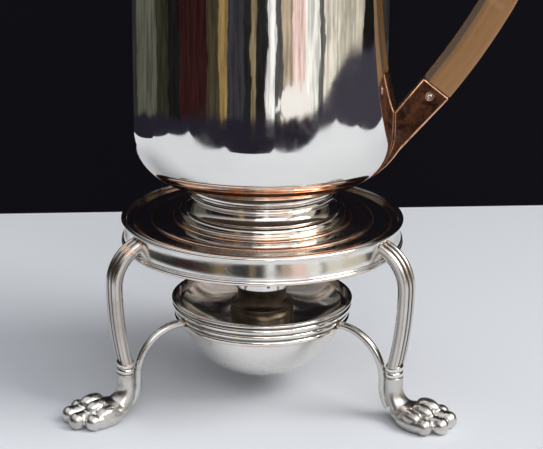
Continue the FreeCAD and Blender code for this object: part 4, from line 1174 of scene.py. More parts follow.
class COFFEE_OT_stand_paws(bpy.types.Operator):
    """Cast paws with knuckled toes"""

    bl_idname = "coffee.stand_paws"
    bl_label = "Paws"

    def execute(self, context):
        s = in_mm(context.scene.coffee_stand)
        paw = self.paw(s)
        for index, name in enumerate(LEGS):
            turn = s.leg_turn + FULL_TURN / len(LEGS) * index
            piece = set_in_place(copy_of(paw, f"paw_piece_{name}"), turn)
            show(piece, "stand", paw_silver(), f"paw_{name}")
        bpy.data.objects.remove(paw, do_unlink=True)
        return {"FINISHED"}

    def paw(self, s):
        """Ankle that widens into the hand, four lobed toes and their knuckles, made into one casting."""
        ankle = s.band_radius + s.leg_out
        top = s.collar_top - s.collar_height - 0.1
        lumps = [self.shank(s, ankle, top)]
        wide = s.toe_width / 2
        tall = s.toe_height / 2
        sink = 0.3
        for side in (-1, 1):
            for out, across, long, swing, knuckle_out, knuckle_up, size in (
                (12.6, 7.5, 9.0, 11, 12.2, 5.8, 0.95),
                (17.8, 3.1, 9.2, 4, 15.0, 7.5, 1.0),
            ):
                place = (ankle + out, side * across, tall * size - sink)
                turn = side * math.radians(swing)
                lumps.append(placed_sphere(place, (long, wide * size, tall * size), turn))
                tip = (ankle + out + long - wide, side * (across + 0.6), wide - sink)
                lumps.append(placed_sphere(tip, (wide, wide * 0.98, wide)))
                knuckle = (ankle + knuckle_out, side * across, knuckle_up)
                lumps.append(placed_sphere(knuckle, (4.9, 3.1, 2.9), turn, math.radians(12)))
        lumps.append(placed_sphere((ankle + 8.4, 0, 4.4), (9.5, 8.2, 4.2)))
        paw = joined("paw_model", lumps)
        apply_modifier(paw, "REMESH", mode="VOXEL", voxel_size=0.30 * MM)
        apply_modifier(paw, "SMOOTH", factor=0.5, iterations=9)
        keep_outer_skin(paw)
        edit(paw)
        bpy.ops.mesh.bisect(
            plane_co=(0, 0, 0.02 * MM), plane_no=(0, 0, 1), use_fill=True, clear_inner=True, threshold=CUT_EXACT
        )
        weld_and_turn_out()
        return smooth(paw, 60)

    def shank(self, s, ankle, top):
        """Round ankle, bent out over the heel and spread into the back of the hand."""
        to_object_mode()
        bpy.ops.mesh.primitive_circle_add(
            vertices=48, radius=s.ankle_radius * MM, fill_type="NGON", location=(ankle * MM, 0, top * MM)
        )
        shank = added("shank")
        shank.scale.x = s.ankle_flat
        bpy.ops.object.transform_apply(location=True, scale=True)
        edit(shank)
        centre = Vector((ankle, top - s.ankle_straight))
        heel = centre + Vector((s.paw_bend, 0))
        steps = 12
        step = math.radians(84) / steps
        bpy.ops.mesh.extrude_region_move(
            TRANSFORM_OT_translate={"value": on_plane("XZ", 0, -s.ankle_straight)}
        )
        for index in range(steps):
            bpy.ops.mesh.extrude_region_move(TRANSFORM_OT_translate={"value": (0, 0, 0)})
            swing_about(step, heel)
            turn = step * (index + 1)
            middle = heel + Vector((-math.cos(turn), -math.sin(turn))) * s.paw_bend
            bpy.ops.transform.resize(value=(1.0, 1.042, 1.0), center_override=on_plane("XZ", *middle))
        bpy.ops.mesh.extrude_region_move(TRANSFORM_OT_translate={"value": on_plane("XZ", 6.0, -0.9)})
        ending = middle + Vector((6.0, -0.9))
        bpy.ops.transform.resize(value=(1.0, 1.06, 0.8), center_override=on_plane("XZ", *ending))
        weld_and_turn_out()
        to_object_mode()
        return shank


class COFFEE_OT_lamp_carrier(bpy.types.Operator):
    """Struts and the ring that carries the lamp"""

    bl_idname = "coffee.lamp_carrier"
    bl_label = "Lamp ring and struts"

    def execute(self, context):
        s = in_mm(context.scene.coffee_stand)
        span = node_span("lamp_ring")
        bore = in_mm(context.scene.coffee_lamp).bowl_radius + 0.4
        middle = (span.bottom + span.top) / 2
        shoulder = span.radius - 0.75
        ring = turned(
            "lamp_ring_piece",
            [
                (bore, span.bottom),
                (shoulder - 0.2, span.bottom),
                reed(shoulder, span.bottom + 0.2, middle - 0.15, 0.72),
                (shoulder, middle + 0.15),
                reed(shoulder, middle + 0.15, span.top - 0.4, 0.72),
                (shoulder - 0.2, span.top),
                (bore, span.top),
            ],
        )
        mark(ring, "worn", lambda x, y, z: near(z, (span.bottom + 0.3,), 0.55))
        mark(ring, "dirt_and_shade", lambda x, y, z: near(z, (middle, span.top), 0.6))
        show(ring, "stand", moulding_silver(), "lamp_ring")
        strut = self.strut(s, span)
        for index, name in enumerate(LEGS):
            turn = s.leg_turn + FULL_TURN / len(LEGS) * index
            show(
                set_in_place(copy_of(strut, f"strut_piece_{name}"), turn), "stand", leg_silver(), f"strut_{name}"
            )
        bpy.data.objects.remove(strut, do_unlink=True)
        return {"FINISHED"}

    def strut(self, s, ring):
        """Round rod: out of the ring, over, down the ankle and round under the heel."""
        ankle = s.band_radius + s.leg_out
        root = ankle + s.paw_bend
        start = ring.radius + 0.1
        drop = ankle - s.collar_radius * s.ankle_flat - 0.1 - s.strut_radius
        bend = drop - start - 1.0
        height = ring.top - (ring.top - ring.bottom) * 0.36
        heel = s.collar_top - s.collar_height - 0.1 - s.ankle_straight
        r = s.strut_radius
        section = [(-r, height), (0, height - r, r), (r, height, r), (0, height + r, r), (-r, height, r)]
        strut = swept(
            "strut_model",
            section[:-1] + [section[-1]],
            start,
            [
                ("run", 1.0, 0, 1),
                ("bend", -QUARTER_TURN, (start + 1.0, height - bend), 20),
                ("run", 0, heel - (height - bend), 2),
                ("bend", math.radians(38), (root, heel), 10),
            ],
        )
        return smooth(strut, 50)


class COFFEE_OT_lamp(bpy.types.Operator):
    """Bowl, lip and dished cover of the spirit lamp"""

    bl_idname = "coffee.lamp"
    bl_label = "Lamp"

    def execute(self, context):
        s = in_mm(context.scene.coffee_lamp)
        show(self.bowl(s), "lamp", satin_silver(), "lamp_bowl")
        show(self.lip(s), "lamp", moulding_silver(), "lamp_rim")
        show(self.cover(s), "lamp", dish_silver(), "lamp_top")
        return {"FINISHED"}

    def bowl(self, s):
        span = node_span("lamp_bowl")
        waist = span.bottom + s.bowl_waist_rise
        rise = s.bowl_waist_rise
        base = (rise * rise + s.bowl_waist * s.bowl_waist) / (2 * rise)
        inner_waist = s.bowl_waist - s.bowl_wall * 0.9
        inner_rise = rise - s.bowl_wall * 0.4
        inner_base = (inner_rise * inner_rise + inner_waist * inner_waist) / (2 * inner_rise)
        bowl = turned(
            "bowl",
            [
                (0, span.bottom),
                (s.bowl_waist, waist, base),
                (s.bowl_radius, span.top, s.bowl_side_bend),
                (s.bowl_radius - s.bowl_wall, span.top),
                (inner_waist, waist + s.bowl_wall * 0.6, -s.bowl_side_bend),
                (0, span.bottom + s.bowl_wall, -inner_base),
            ],
            pitch=2.0,
        )
        return dent(bowl, 18.0, 0.03)

    def lip(self, s):
        """A broad reed under a thin rolled edge, with a ledge for the cover."""
        span = node_span("lamp_rim")
        height = span.top - span.bottom
        bore = s.bowl_radius - s.bowl_wall
        ledge = span.bottom + height * 0.3
        shoulder = span.radius - 0.6
        groove = span.bottom + height * 0.64
        lip = turned(
            "lip",
            [
                (bore, span.bottom),
                (shoulder - 0.5, span.bottom),
                reed(shoulder - 0.5, span.bottom, span.bottom + height * 0.58, 0.9),
                (shoulder - 0.6, span.bottom + height * 0.66),
                (shoulder, span.bottom + height * 0.72),
                reed(shoulder, span.bottom + height * 0.72, span.top, 0.55),
                (shoulder - 1.25, span.top),
                (shoulder - 1.25, ledge),
                (bore, ledge),
            ],
        )
        return mark(lip, "dirt_and_shade", lambda x, y, z: near(z, (span.bottom, groove), 0.6))

    def cover(self, s):
        lip = node_span("lamp_rim")
        low = lip.bottom + (lip.top - lip.bottom) * 0.3 + 0.05
        high = low + s.bowl_wall
        brim = s.bowl_radius - s.bowl_wall
        edge = lip.radius - 0.6 - 1.35
        hole = s.neck_foot + 0.1
        cover = turned(
            "cover",
            [
                (edge, low),
                (edge, high),
                (brim, high),
                (hole, high - s.dish_drop, -s.dish_bend),
                (hole, low - s.dish_drop),
                (brim, low, s.dish_bend),
            ],
            pitch=2.0,
        )
        return dent(cover, 12.0, 0.10)


class COFFEE_OT_burner(bpy.types.Operator):
    """Neck, pierced gallery, wick tube and wick"""

    bl_idname = "coffee.burner"
    bl_label = "Burner"

    def execute(self, context):
        s = in_mm(context.scene.coffee_lamp)
        show(self.neck(s), "lamp", burner_metal(), "burner_neck")
        show(self.gallery(s), "lamp", bright_silver(), "burner_gallery")
        span = node_span("wick_tube")
        bore = s.wick_radius + 0.1
        tube = turned(
            "tube",
            [
                (bore, span.bottom),
                (span.radius, span.bottom),
                (span.radius, span.top - 1.2),
                reed(span.radius - 0.02, span.top - 1.2, span.top, 0.3),
                (bore, span.top),
            ],
            steps=64,
        )
        show(tube, "lamp", burner_metal(), "wick_tube")
        show(self.wick(s), "lamp", wick_cotton(), "wick")
        return {"FINISHED"}

    def neck(self, s):
        span = node_span("burner_neck")
        bore = node_span("wick_tube").radius + 0.1
        step = span.bottom + 6.4
        rise = s.neck_foot - s.neck_radius
        neck = turned(
            "neck",
            [
                (bore, span.bottom),
                (s.neck_foot, span.bottom),
                (s.neck_foot, step - 1.1),
                reed(s.neck_foot - 0.15, step - 1.1, step, 0.4),
                (s.neck_radius, step + rise * 0.75, -rise * 1.4),
                (s.neck_radius, span.top - 1.6),
                reed(s.neck_radius, span.top - 1.6, span.top - 0.4, 0.45),
                (s.neck_radius, span.top),
                (bore, span.top),
            ],
            steps=96,
        )
        soften(neck, 0.1)
        edit(neck)
        weld_and_turn_out()
        return smooth(neck)

    def gallery(self, s):
        """Thin dish whose wall is pierced with square air holes."""
        span = node_span("burner_gallery")
        bore = node_span("wick_tube").radius + 0.1
        wall = 1.0
        lean = 0.28
        floor = span.bottom + wall
        dish = turned(
            "gallery",
            [
                (bore, span.bottom),
                (s.gallery_radius, span.bottom),
                (s.gallery_radius - lean, span.top),
                (s.gallery_radius - wall, span.top),
                (s.gallery_radius - wall, floor),
                (bore, floor),
            ],
            steps=96,
        )
        soften(dish, 0.14)
        to_object_mode()
        bpy.ops.mesh.primitive_cube_add(size=MM)
        punch = added("punch")
        edit(punch)
        bpy.ops.transform.resize(value=(3 * wall, 1.3, 1.0))
        set_in_place(punch, 0.0, s.gallery_radius, (floor + span.top) / 2)
        count = 8
        punches = [
            set_in_place(copy_of(punch, f"punch_{index}"), FULL_TURN / count * (index + 0.5))
            for index in range(count)
        ]
        bpy.data.objects.remove(punch, do_unlink=True)
        return cut_away(dish, joined("punches", punches))

    def wick(self, s):
        """Plaited cotton, thicker in turns and frayed at the top."""
        span = node_span("wick")
        radius = s.wick_radius
        corners = [(0, span.bottom), (radius, span.bottom), (radius, span.top - 0.9)]
        corners += [(radius - 0.9, span.top, 0.9), (0, span.top - 0.35, -8.0)]
        wick = turned("wick_piece", corners, steps=64, pitch=0.8)
        return dent(wick, 1.3, 0.35)


class COFFEE_OT_snuffer(bpy.types.Operator):
    """Cap that puts the flame out"""

    bl_idname = "coffee.snuffer"
    bl_label = "Snuffer"

    def execute(self, context):
        s = in_mm(context.scene.coffee_lamp)
        cap = node_span("snuffer_cap")
        knob = node_span("snuffer_knob")
        wall = 0.9
        shoulder = cap.bottom + (cap.top - cap.bottom) * 0.74
        radius = s.snuffer_radius
        top_radius = knob.radius
        shell = turned(
            "snuffer_shell",
            [
                (radius - wall, cap.bottom),
                (radius - 0.25, cap.bottom),
                reed(radius - 0.25, cap.bottom, cap.bottom + 1.3, 0.28),
                (radius - 0.25, shoulder),
                (top_radius, cap.top, 7.2),
                (0, cap.top),
                (0, cap.top - wall),
                (top_radius, cap.top - wall),
                (radius - wall, shoulder, -6.6),
            ],
            steps=96,
        )
        show(shell, "snuffer", small_silver(), "snuffer_cap")
        unit = knob.radius
        foot = knob.bottom
        button = turned(
            "snuffer_button",
            [
                (0, foot),
                (unit * 0.6, foot),
                (unit * 0.45, foot + unit * 0.6, -2 * unit),
                (unit, foot + unit * 1.4, unit * 0.9),
                (unit * 0.3, foot + unit * 2.2, unit * 0.9),
                (0, foot + unit * 2.2),
            ],
            steps=48,
        )
        show(button, "snuffer", small_silver(), "snuffer_knob")
        return {"FINISHED"}


class COFFEE_OT_body(bpy.types.Operator):
    """Body with its dents and strainer holes, let-in bottom and mouth wire"""

    bl_idname = "coffee.body"
    bl_label = "Body"

    def execute(self, context):
        s = in_mm(context.scene.coffee_pot)
        show(self.shell(s), "pot", body_silver(), "pot_body")
        span = node_span("pot_bottom")
        disc = turned(
            "bottom_disc",
            [(0, span.bottom), (span.radius, span.bottom), (span.radius, span.top), (0, span.top + 0.25, -900.0)],
            pitch=4.0,
        )
        mark(disc, "dirt_and_shade", lambda x, y, z: float(z < span.bottom + 0.1))
        show(disc, "pot", sooty_silver(), "pot_bottom")
        span = node_span("pot_rim_wire")
        inner = s.body_radius + 0.1
        height = span.top - span.bottom
        wire = turned(
            "mouth_wire",
            [
                (inner, span.bottom),
                (inner + 0.3, span.bottom),
                reed(inner + 0.3, span.bottom, span.bottom + height * 0.3, 0.45),
                (inner + 0.35, span.bottom + height * 0.36),
                reed(inner + 0.35, span.bottom + height * 0.36, span.top - 0.1, 1.0),
                (inner, span.top),
            ],
        )
        show(wire, "pot", moulding_silver(), "pot_rim_wire")
        return {"FINISHED"}

    def shell(self, s):
        edge = s.body_edge
        low = s.body_bottom
        widest = s.body_radius + s.body_bulge
        swell = low + s.bulge_rise
        fade = swell + s.bulge_fade
        out = widest - edge
        bend = (out * out + s.bulge_rise * s.bulge_rise) / (2 * out)
        easing = (s.body_bulge * s.body_bulge + s.bulge_fade * s.bulge_fade) / (2 * s.body_bulge)
        inner = s.body_radius - s.body_wall
        shell = turned(
            "body_shell",
            [
                (edge, low),
                (widest, swell, bend),
                (s.body_radius, fade, easing),
                (s.body_radius, s.body_top),
                (inner, s.body_top),
                (inner, fade),
                (widest - s.body_wall, swell),
                (edge - s.body_wall, low + s.body_wall, -bend),
                (edge - s.body_wall, low),
            ],
            steps=256,
            pitch=2.6,
        )
        dent(shell, 26.0, s.dent_depth)
        return cut_away(shell, self.strainer_drills(s))

    def strainer_drills(self, s):
        """Round drills for the holes behind the spout."""
        rows = (3, 4, 5, 4, 3)
        pitch = 5.0
        centre = s.body_top - 36.0
        drills = []
        to_object_mode()
        bpy.ops.mesh.primitive_circle_add(vertices=20, radius=1.6 * MM, fill_type="NGON", rotation=(0, QUARTER_TURN, 0))
        drill = added("drill")
        bpy.ops.object.transform_apply(rotation=True)
        edit(drill)
        bpy.ops.transform.translate(value=(-60 * MM, 0, 0))
        bpy.ops.mesh.extrude_region_move(TRANSFORM_OT_translate={"value": (16 * MM, 0, 0)})
        weld_and_turn_out()
        for row, count in enumerate(rows):
            for column in range(count):
                copy = copy_of(drill, f"drill_{row}_{column}")
                edit(copy)
                across = pitch * (column - (count - 1) / 2)
                up = centre + pitch * math.sin(math.radians(60)) * (row - (len(rows) - 1) / 2)
                bpy.ops.transform.translate(value=(0, across * MM, up * MM))
                drills.append(copy)
        to_object_mode()
        bpy.data.objects.remove(drill, do_unlink=True)
        return joined("drills", drills)


class COFFEE_OT_foot(bpy.types.Operator):
    """Spool foot and its base moulding"""

    bl_idname = "coffee.foot"
    bl_label = "Foot"

    def execute(self, context):
        s = in_mm(context.scene.coffee_pot)
        span = node_span("pot_foot")
        unit = (span.top - span.bottom) / 5
        wire = node_span("foot_wire")
        low = span.bottom
        foot = turned(
            "spool_foot",
            [
                (s.foot_bore, low),
                (s.foot_flare, low),
                (s.foot_flare, wire.top + 0.1),
                (s.foot_neck, low + 2 * unit, -2 * unit),
                (s.foot_neck, low + 2.15 * unit),
                reed(s.foot_neck, low + 2.15 * unit, low + 3.1 * unit, 1.35),
                (s.foot_neck + 0.35, low + 3.2 * unit),
                (s.foot_neck + 1.2, low + 3.3 * unit),
                (s.foot_neck + 1.2, low + 3.55 * unit),
                (s.foot_neck - unit / 5, span.top, -3 * unit),
                (s.foot_bore, span.top),
            ],
        )
        soften(foot, 0.15)
        mark(foot, "dirt_and_shade", lambda x, y, z: float(math.hypot(x, y) < s.foot_bore + 0.2))
        show(foot, "pot", moulding_silver(), "pot_foot")
        bore = s.foot_flare + 0.1
        base = turned(
            "base_moulding",
            [
                (bore, wire.bottom),
                (s.foot_base - 0.75, wire.bottom),
                (bore + unit / 5, wire.top, 2.42),
                (bore, wire.top),
            ],
        )
        show(base, "pot", moulding_silver(), "foot_wire")
        return {"FINISHED"}


class COFFEE_OT_spout(bpy.types.Operator):
    """Short beak from the strainer to a level lip"""

    bl_idname = "coffee.spout"
    bl_label = "Spout"

    def execute(self, context):
        s = in_mm(context.scene.coffee_pot)
        stations = (
            (-(s.body_radius - 2.2), s.body_top - 36.0, -90.0, 22.0, 13.0),
            (-(s.body_radius + 13.0), s.body_top - 27.0, -45.0, 8.5, 12.0),
            (-(s.body_radius + 26.0), s.body_top - 6.0, 0.0, 7.5, 5.0),
        )
        to_object_mode()
        bpy.ops.mesh.primitive_circle_add(vertices=64, radius=MM, fill_type="NOTHING")
        beak = added("beak")
        edit(beak)
        steps = 18
        before = None
        for index in range(steps + 1):
            now = self.between(stations, index / steps)
            if before is None:
                self.lay_ring(now, (0, 0, 0, 1, 1))
            else:
                bpy.ops.mesh.extrude_region_move(TRANSFORM_OT_translate={"value": (0, 0, 0)})
                self.lay_ring(now, before)
            before = now
        weld_and_turn_out()
        to_object_mode()
        apply_modifier(beak, "SOLIDIFY", thickness=s.spout_wall * MM, offset=-1.0)
        envelope = turned(
            "envelope",
            [
                (0, s.body_bottom + 20),
                (s.body_radius + 0.1, s.body_bottom + 20),
                (s.body_radius + 0.1, s.body_top + 20),
                (0, s.body_top + 20),
            ],
        )
        cut_away(beak, envelope)
        soften(beak, 0.3, 3, 50)
        show(beak, "pot", body_silver(), "spout")
        return {"FINISHED"}

    def between(self, stations, share):
        """Place, lean and half sizes of the ring at a share of the way, through all three stations."""
        weights = (
            2 * (share - 0.5) * (share - 1),
            -4 * share * (share - 1),
            2 * share * (share - 0.5),
        )
        return [sum(w * station[i] for w, station in zip(weights, stations)) for i in range(5)]

    def lay_ring(self, now, before):
        """Bring the selected ring from one station to the next."""
        old_place, new_place = before[:2], now[:2]
        swing_about(math.radians(before[2]), old_place)
        grow = (now[3] / before[3], now[4] / before[4], 1.0)
        bpy.ops.transform.resize(value=grow, center_override=on_plane("XZ", *old_place))
        swing_about(-math.radians(now[2]), old_place)
        bpy.ops.transform.translate(value=on_plane("XZ", *new_place) - on_plane("XZ", *old_place))


class COFFEE_OT_handle(bpy.types.Operator):
    """Bowed fruitwood grip"""

    bl_idname = "coffee.handle"
    bl_label = "Handle"
    inner_chamfer = 2.2

    def execute(self, context):
        s = in_mm(context.scene.coffee_pot)
        apex = s.body_radius + s.grip_reach
        start = apex - s.grip_top_bend
        height = s.grip_apex + s.grip_top_bend
        wide = s.grip_width / 2
        thick = s.grip_thickness / 2
        inner = self.inner_chamfer
        outer = 1.3
        section = [
            (-thick + inner, height - wide),
            (thick - inner, height - wide),
            (thick, height - wide + inner),
            (thick, height + wide - outer),
            (thick - outer, height + wide, outer),
            (-thick + outer, height + wide),
            (-thick, height + wide - outer, outer),
            (-thick, height - wide + inner),
        ]
        middle_centre = (apex - s.grip_middle_bend, s.grip_apex)
        swing = s.grip_middle_angle
        offset = s.grip_low_bend - s.grip_middle_bend
        low_centre = (
            middle_centre[0] - offset * math.cos(swing),
            middle_centre[1] + offset * math.sin(swing),
        )
        grip = swept(
            "grip",
            section,
            start,
            [
                ("bend", -QUARTER_TURN, (start, s.grip_apex), 40),
                ("bend", -swing, middle_centre, 16),
                ("bend", -s.grip_low_angle, low_centre, 16),
            ],
        )
        soften(grip, 0.5, 3)
        self.store_grain(grip, (start, s.grip_apex), middle_centre, low_centre, s)
        show(grip, "pot", fruitwood("Handle wood"), "handle_grip")
        return {"FINISHED"}

    def store_grain(self, grip, top_centre, middle_centre, low_centre, s):
        """Keep each point's way along the bow, across it and to the side, and mark the inner chamfer for its painted
        shade.
        """
        values = []
        chamfer_shade = []
        for vertex in grip.data.vertices:
            x, y, z = vertex.co / MM
            if z > top_centre[1]:
                turn = math.atan2(x - top_centre[0], z - top_centre[1])
                along = s.grip_top_bend * turn
                across = math.hypot(x - top_centre[0], z - top_centre[1]) - s.grip_top_bend
            else:
                along = s.grip_top_bend * QUARTER_TURN
                turn = math.atan2(middle_centre[1] - z, x - middle_centre[0])
                if turn < s.grip_middle_angle:
                    along += s.grip_middle_bend * turn
                    across = math.hypot(x - middle_centre[0], z - middle_centre[1]) - s.grip_middle_bend
                else:
                    turn = math.atan2(low_centre[1] - z, x - low_centre[0]) - s.grip_middle_angle
                    along += s.grip_middle_bend * s.grip_middle_angle + s.grip_low_bend * turn
                    across = math.hypot(x - low_centre[0], z - low_centre[1]) - s.grip_low_bend
            values += [along * MM, across * MM, y * MM]
            depth = across + s.grip_width / 2 + s.grip_thickness / 2 - abs(y)
            # The inner chamfer is marked for painted shade.
            chamfer_shade.append(near(depth, (self.inner_chamfer,), 0.2))
        grain = grip.data.attributes.new("grain", "FLOAT_VECTOR", "POINT")
        grain.data.foreach_set("vector", values)
        dirt_and_shade = grip.data.attributes.new("dirt_and_shade", "FLOAT", "POINT")
        dirt_and_shade.data.foreach_set("value", chamfer_shade)


class COFFEE_OT_sockets(bpy.types.Operator):
    """Copper sockets of the handle and their pins"""

    bl_idname = "coffee.sockets"
    bl_label = "Sockets and pins"

    def execute(self, context):
        for end in ("lower", "upper"):
            boot = eased_copy(f"socket_{end}", f"boot_{end}", 0.9, self.fading(end))
            show(boot, "pot", socket_copper(), f"socket_{end}")
            pin = self.pin(end)
            show(pin, "pot", bright_silver(), f"socket_pin_{end}")
        return {"FINISHED"}

    def fading(self, end):
        """The edges are eased less and less towards the socket's thin tip."""
        low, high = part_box(f"socket_{end}")
        tip = low.z if end == "lower" else high.z
        fade = 22.0 * MM
        return lambda point: min(1.0, 0.05 + abs(point.z - tip) / fade)

    def pin(self, end):
        """Round pin whose two ends are sunk and dirty in the middle."""
        pin = eased_copy(f"socket_pin_{end}", f"pin_{end}", 0.2)
        pick(pin)
        for face in pin.data.polygons:
            face.select = abs(face.normal.y) > 0.95
        bpy.ops.object.mode_set(mode="EDIT")
        bpy.ops.mesh.select_mode(type="FACE")
        bpy.ops.mesh.inset(thickness=0.35 * MM, depth=-0.2 * MM, use_individual=False)
        bpy.ops.mesh.select_mode(type="VERT")
        to_object_mode()
        sunk = {index for face in pin.data.polygons if face.select for index in face.vertices}
        dirt_and_shade = pin.data.attributes.new("dirt_and_shade", "FLOAT", "POINT")
        dirt_and_shade.data.foreach_set("value", [float(point.index in sunk) for point in pin.data.vertices])
        return smooth(pin)


class COFFEE_OT_lid(bpy.types.Operator):
    """Domed cover and the ring that seats in the mouth"""

    bl_idname = "coffee.lid"
    bl_label = "Lid"

    def execute(self, context):
        s = in_mm(context.scene.coffee_pot)
        span = node_span("lid_dome")
        flange = span.bottom + 1.7
        spring = span.radius - 4.1
        boss = 7.5
        wall = 1.0
        hole = 1.85
        dome = turned(
            "dome",
            [
                (span.radius - 0.5, span.bottom),
                (span.radius - 0.5, flange, 0.95),
                (spring + 1.1, flange - 0.1),
                (spring + 0.5, flange + 0.5, 0.5),
                (spring, flange + 0.15, 0.5),
                (boss, span.top, s.lid_bend),
                (hole, span.top),
                (hole, span.top - wall),
                (boss, span.top - wall),
                (spring - wall, span.bottom, -s.lid_bend),
            ],
            pitch=2.6,
        )
        dent(dome, 22.0, 0.22)
        show(dome, "lid", body_silver(), "lid_dome")
        span = node_span("lid_bezel")
        bezel = turned(
            "bezel",
            [
                (span.radius - 0.8, span.bottom),
                (span.radius - 0.3, span.bottom),
                (span.radius, span.bottom + 0.8),
                (span.radius, span.top),
                (span.radius - 0.8, span.top),
            ],
        )
        show(bezel, "lid", satin_silver(), "lid_bezel")
        return {"FINISHED"}


class COFFEE_OT_hinge(bpy.types.Operator):
    """Bracket, pin and leaf of the lid's hinge"""

    bl_idname = "coffee.hinge"
    bl_label = "Hinge"

    def execute(self, context):
        show(eased_copy("hinge_bracket", "hinge_block", 0.3), "pot", small_silver(), "hinge_bracket")
        show(eased_copy("hinge_pin", "hinge_rod", 0.2), "pot", small_silver(), "hinge_pin")
        show(eased_copy("lid_hinge_leaf", "hinge_flap", 0.3), "lid", small_silver(), "lid_hinge_leaf")
        return {"FINISHED"}


class COFFEE_OT_finial(bpy.types.Operator):
    """Turned wood knob with its plate, stud and nut"""

    bl_idname = "coffee.finial"
    bl_label = "Finial"

    def execute(self, context):
        plate = node_span("finial_plate")
        knob = node_span("finial_knob")
        stud = node_span("finial_stud")
        hole = 1.85
        waist = 4.95
        collar = turned(
            "knob_plate",
            [
                (hole, plate.bottom),
                (7.2, plate.bottom),
                reed(7.2, plate.bottom, plate.bottom + 0.8, 0.3),
                (waist, plate.top, -4.0),
                (hole, plate.top),
            ],
            steps=96,
        )
        show(collar, "lid", moulding_silver(), "finial_plate")
        height = knob.top - knob.bottom
        wood = turned(
            "wood_knob",
            [
                (hole, knob.bottom),
                (waist, knob.bottom),
                (waist, knob.bottom + 0.6),
                (9.0, knob.bottom + height * 0.6, -14.0),
                (4.25, knob.top, 6.3),
                (hole, knob.top),
            ],
            steps=96,
            pitch=1.2,
        )
        show(wood, "lid", fruitwood("Knob wood", True), "finial_knob")
        button = stud.top - 3.6
        screw = turned(
            "knob_stud",
            [
                (0, stud.bottom),
                (1.8, stud.bottom),
                (1.8, button),
                (3.2, button),
                reed(3.2, button, button + 0.9, 0.3),
                (1.19, stud.top, 3.06),
                (0, stud.top),
            ],
            steps=64,
        )
        show(screw, "lid", moulding_silver(), "finial_stud")
        show(eased_copy("finial_nut", "knob_nut", 0.25), "lid", small_silver(), "finial_nut")
        return {"FINISHED"}


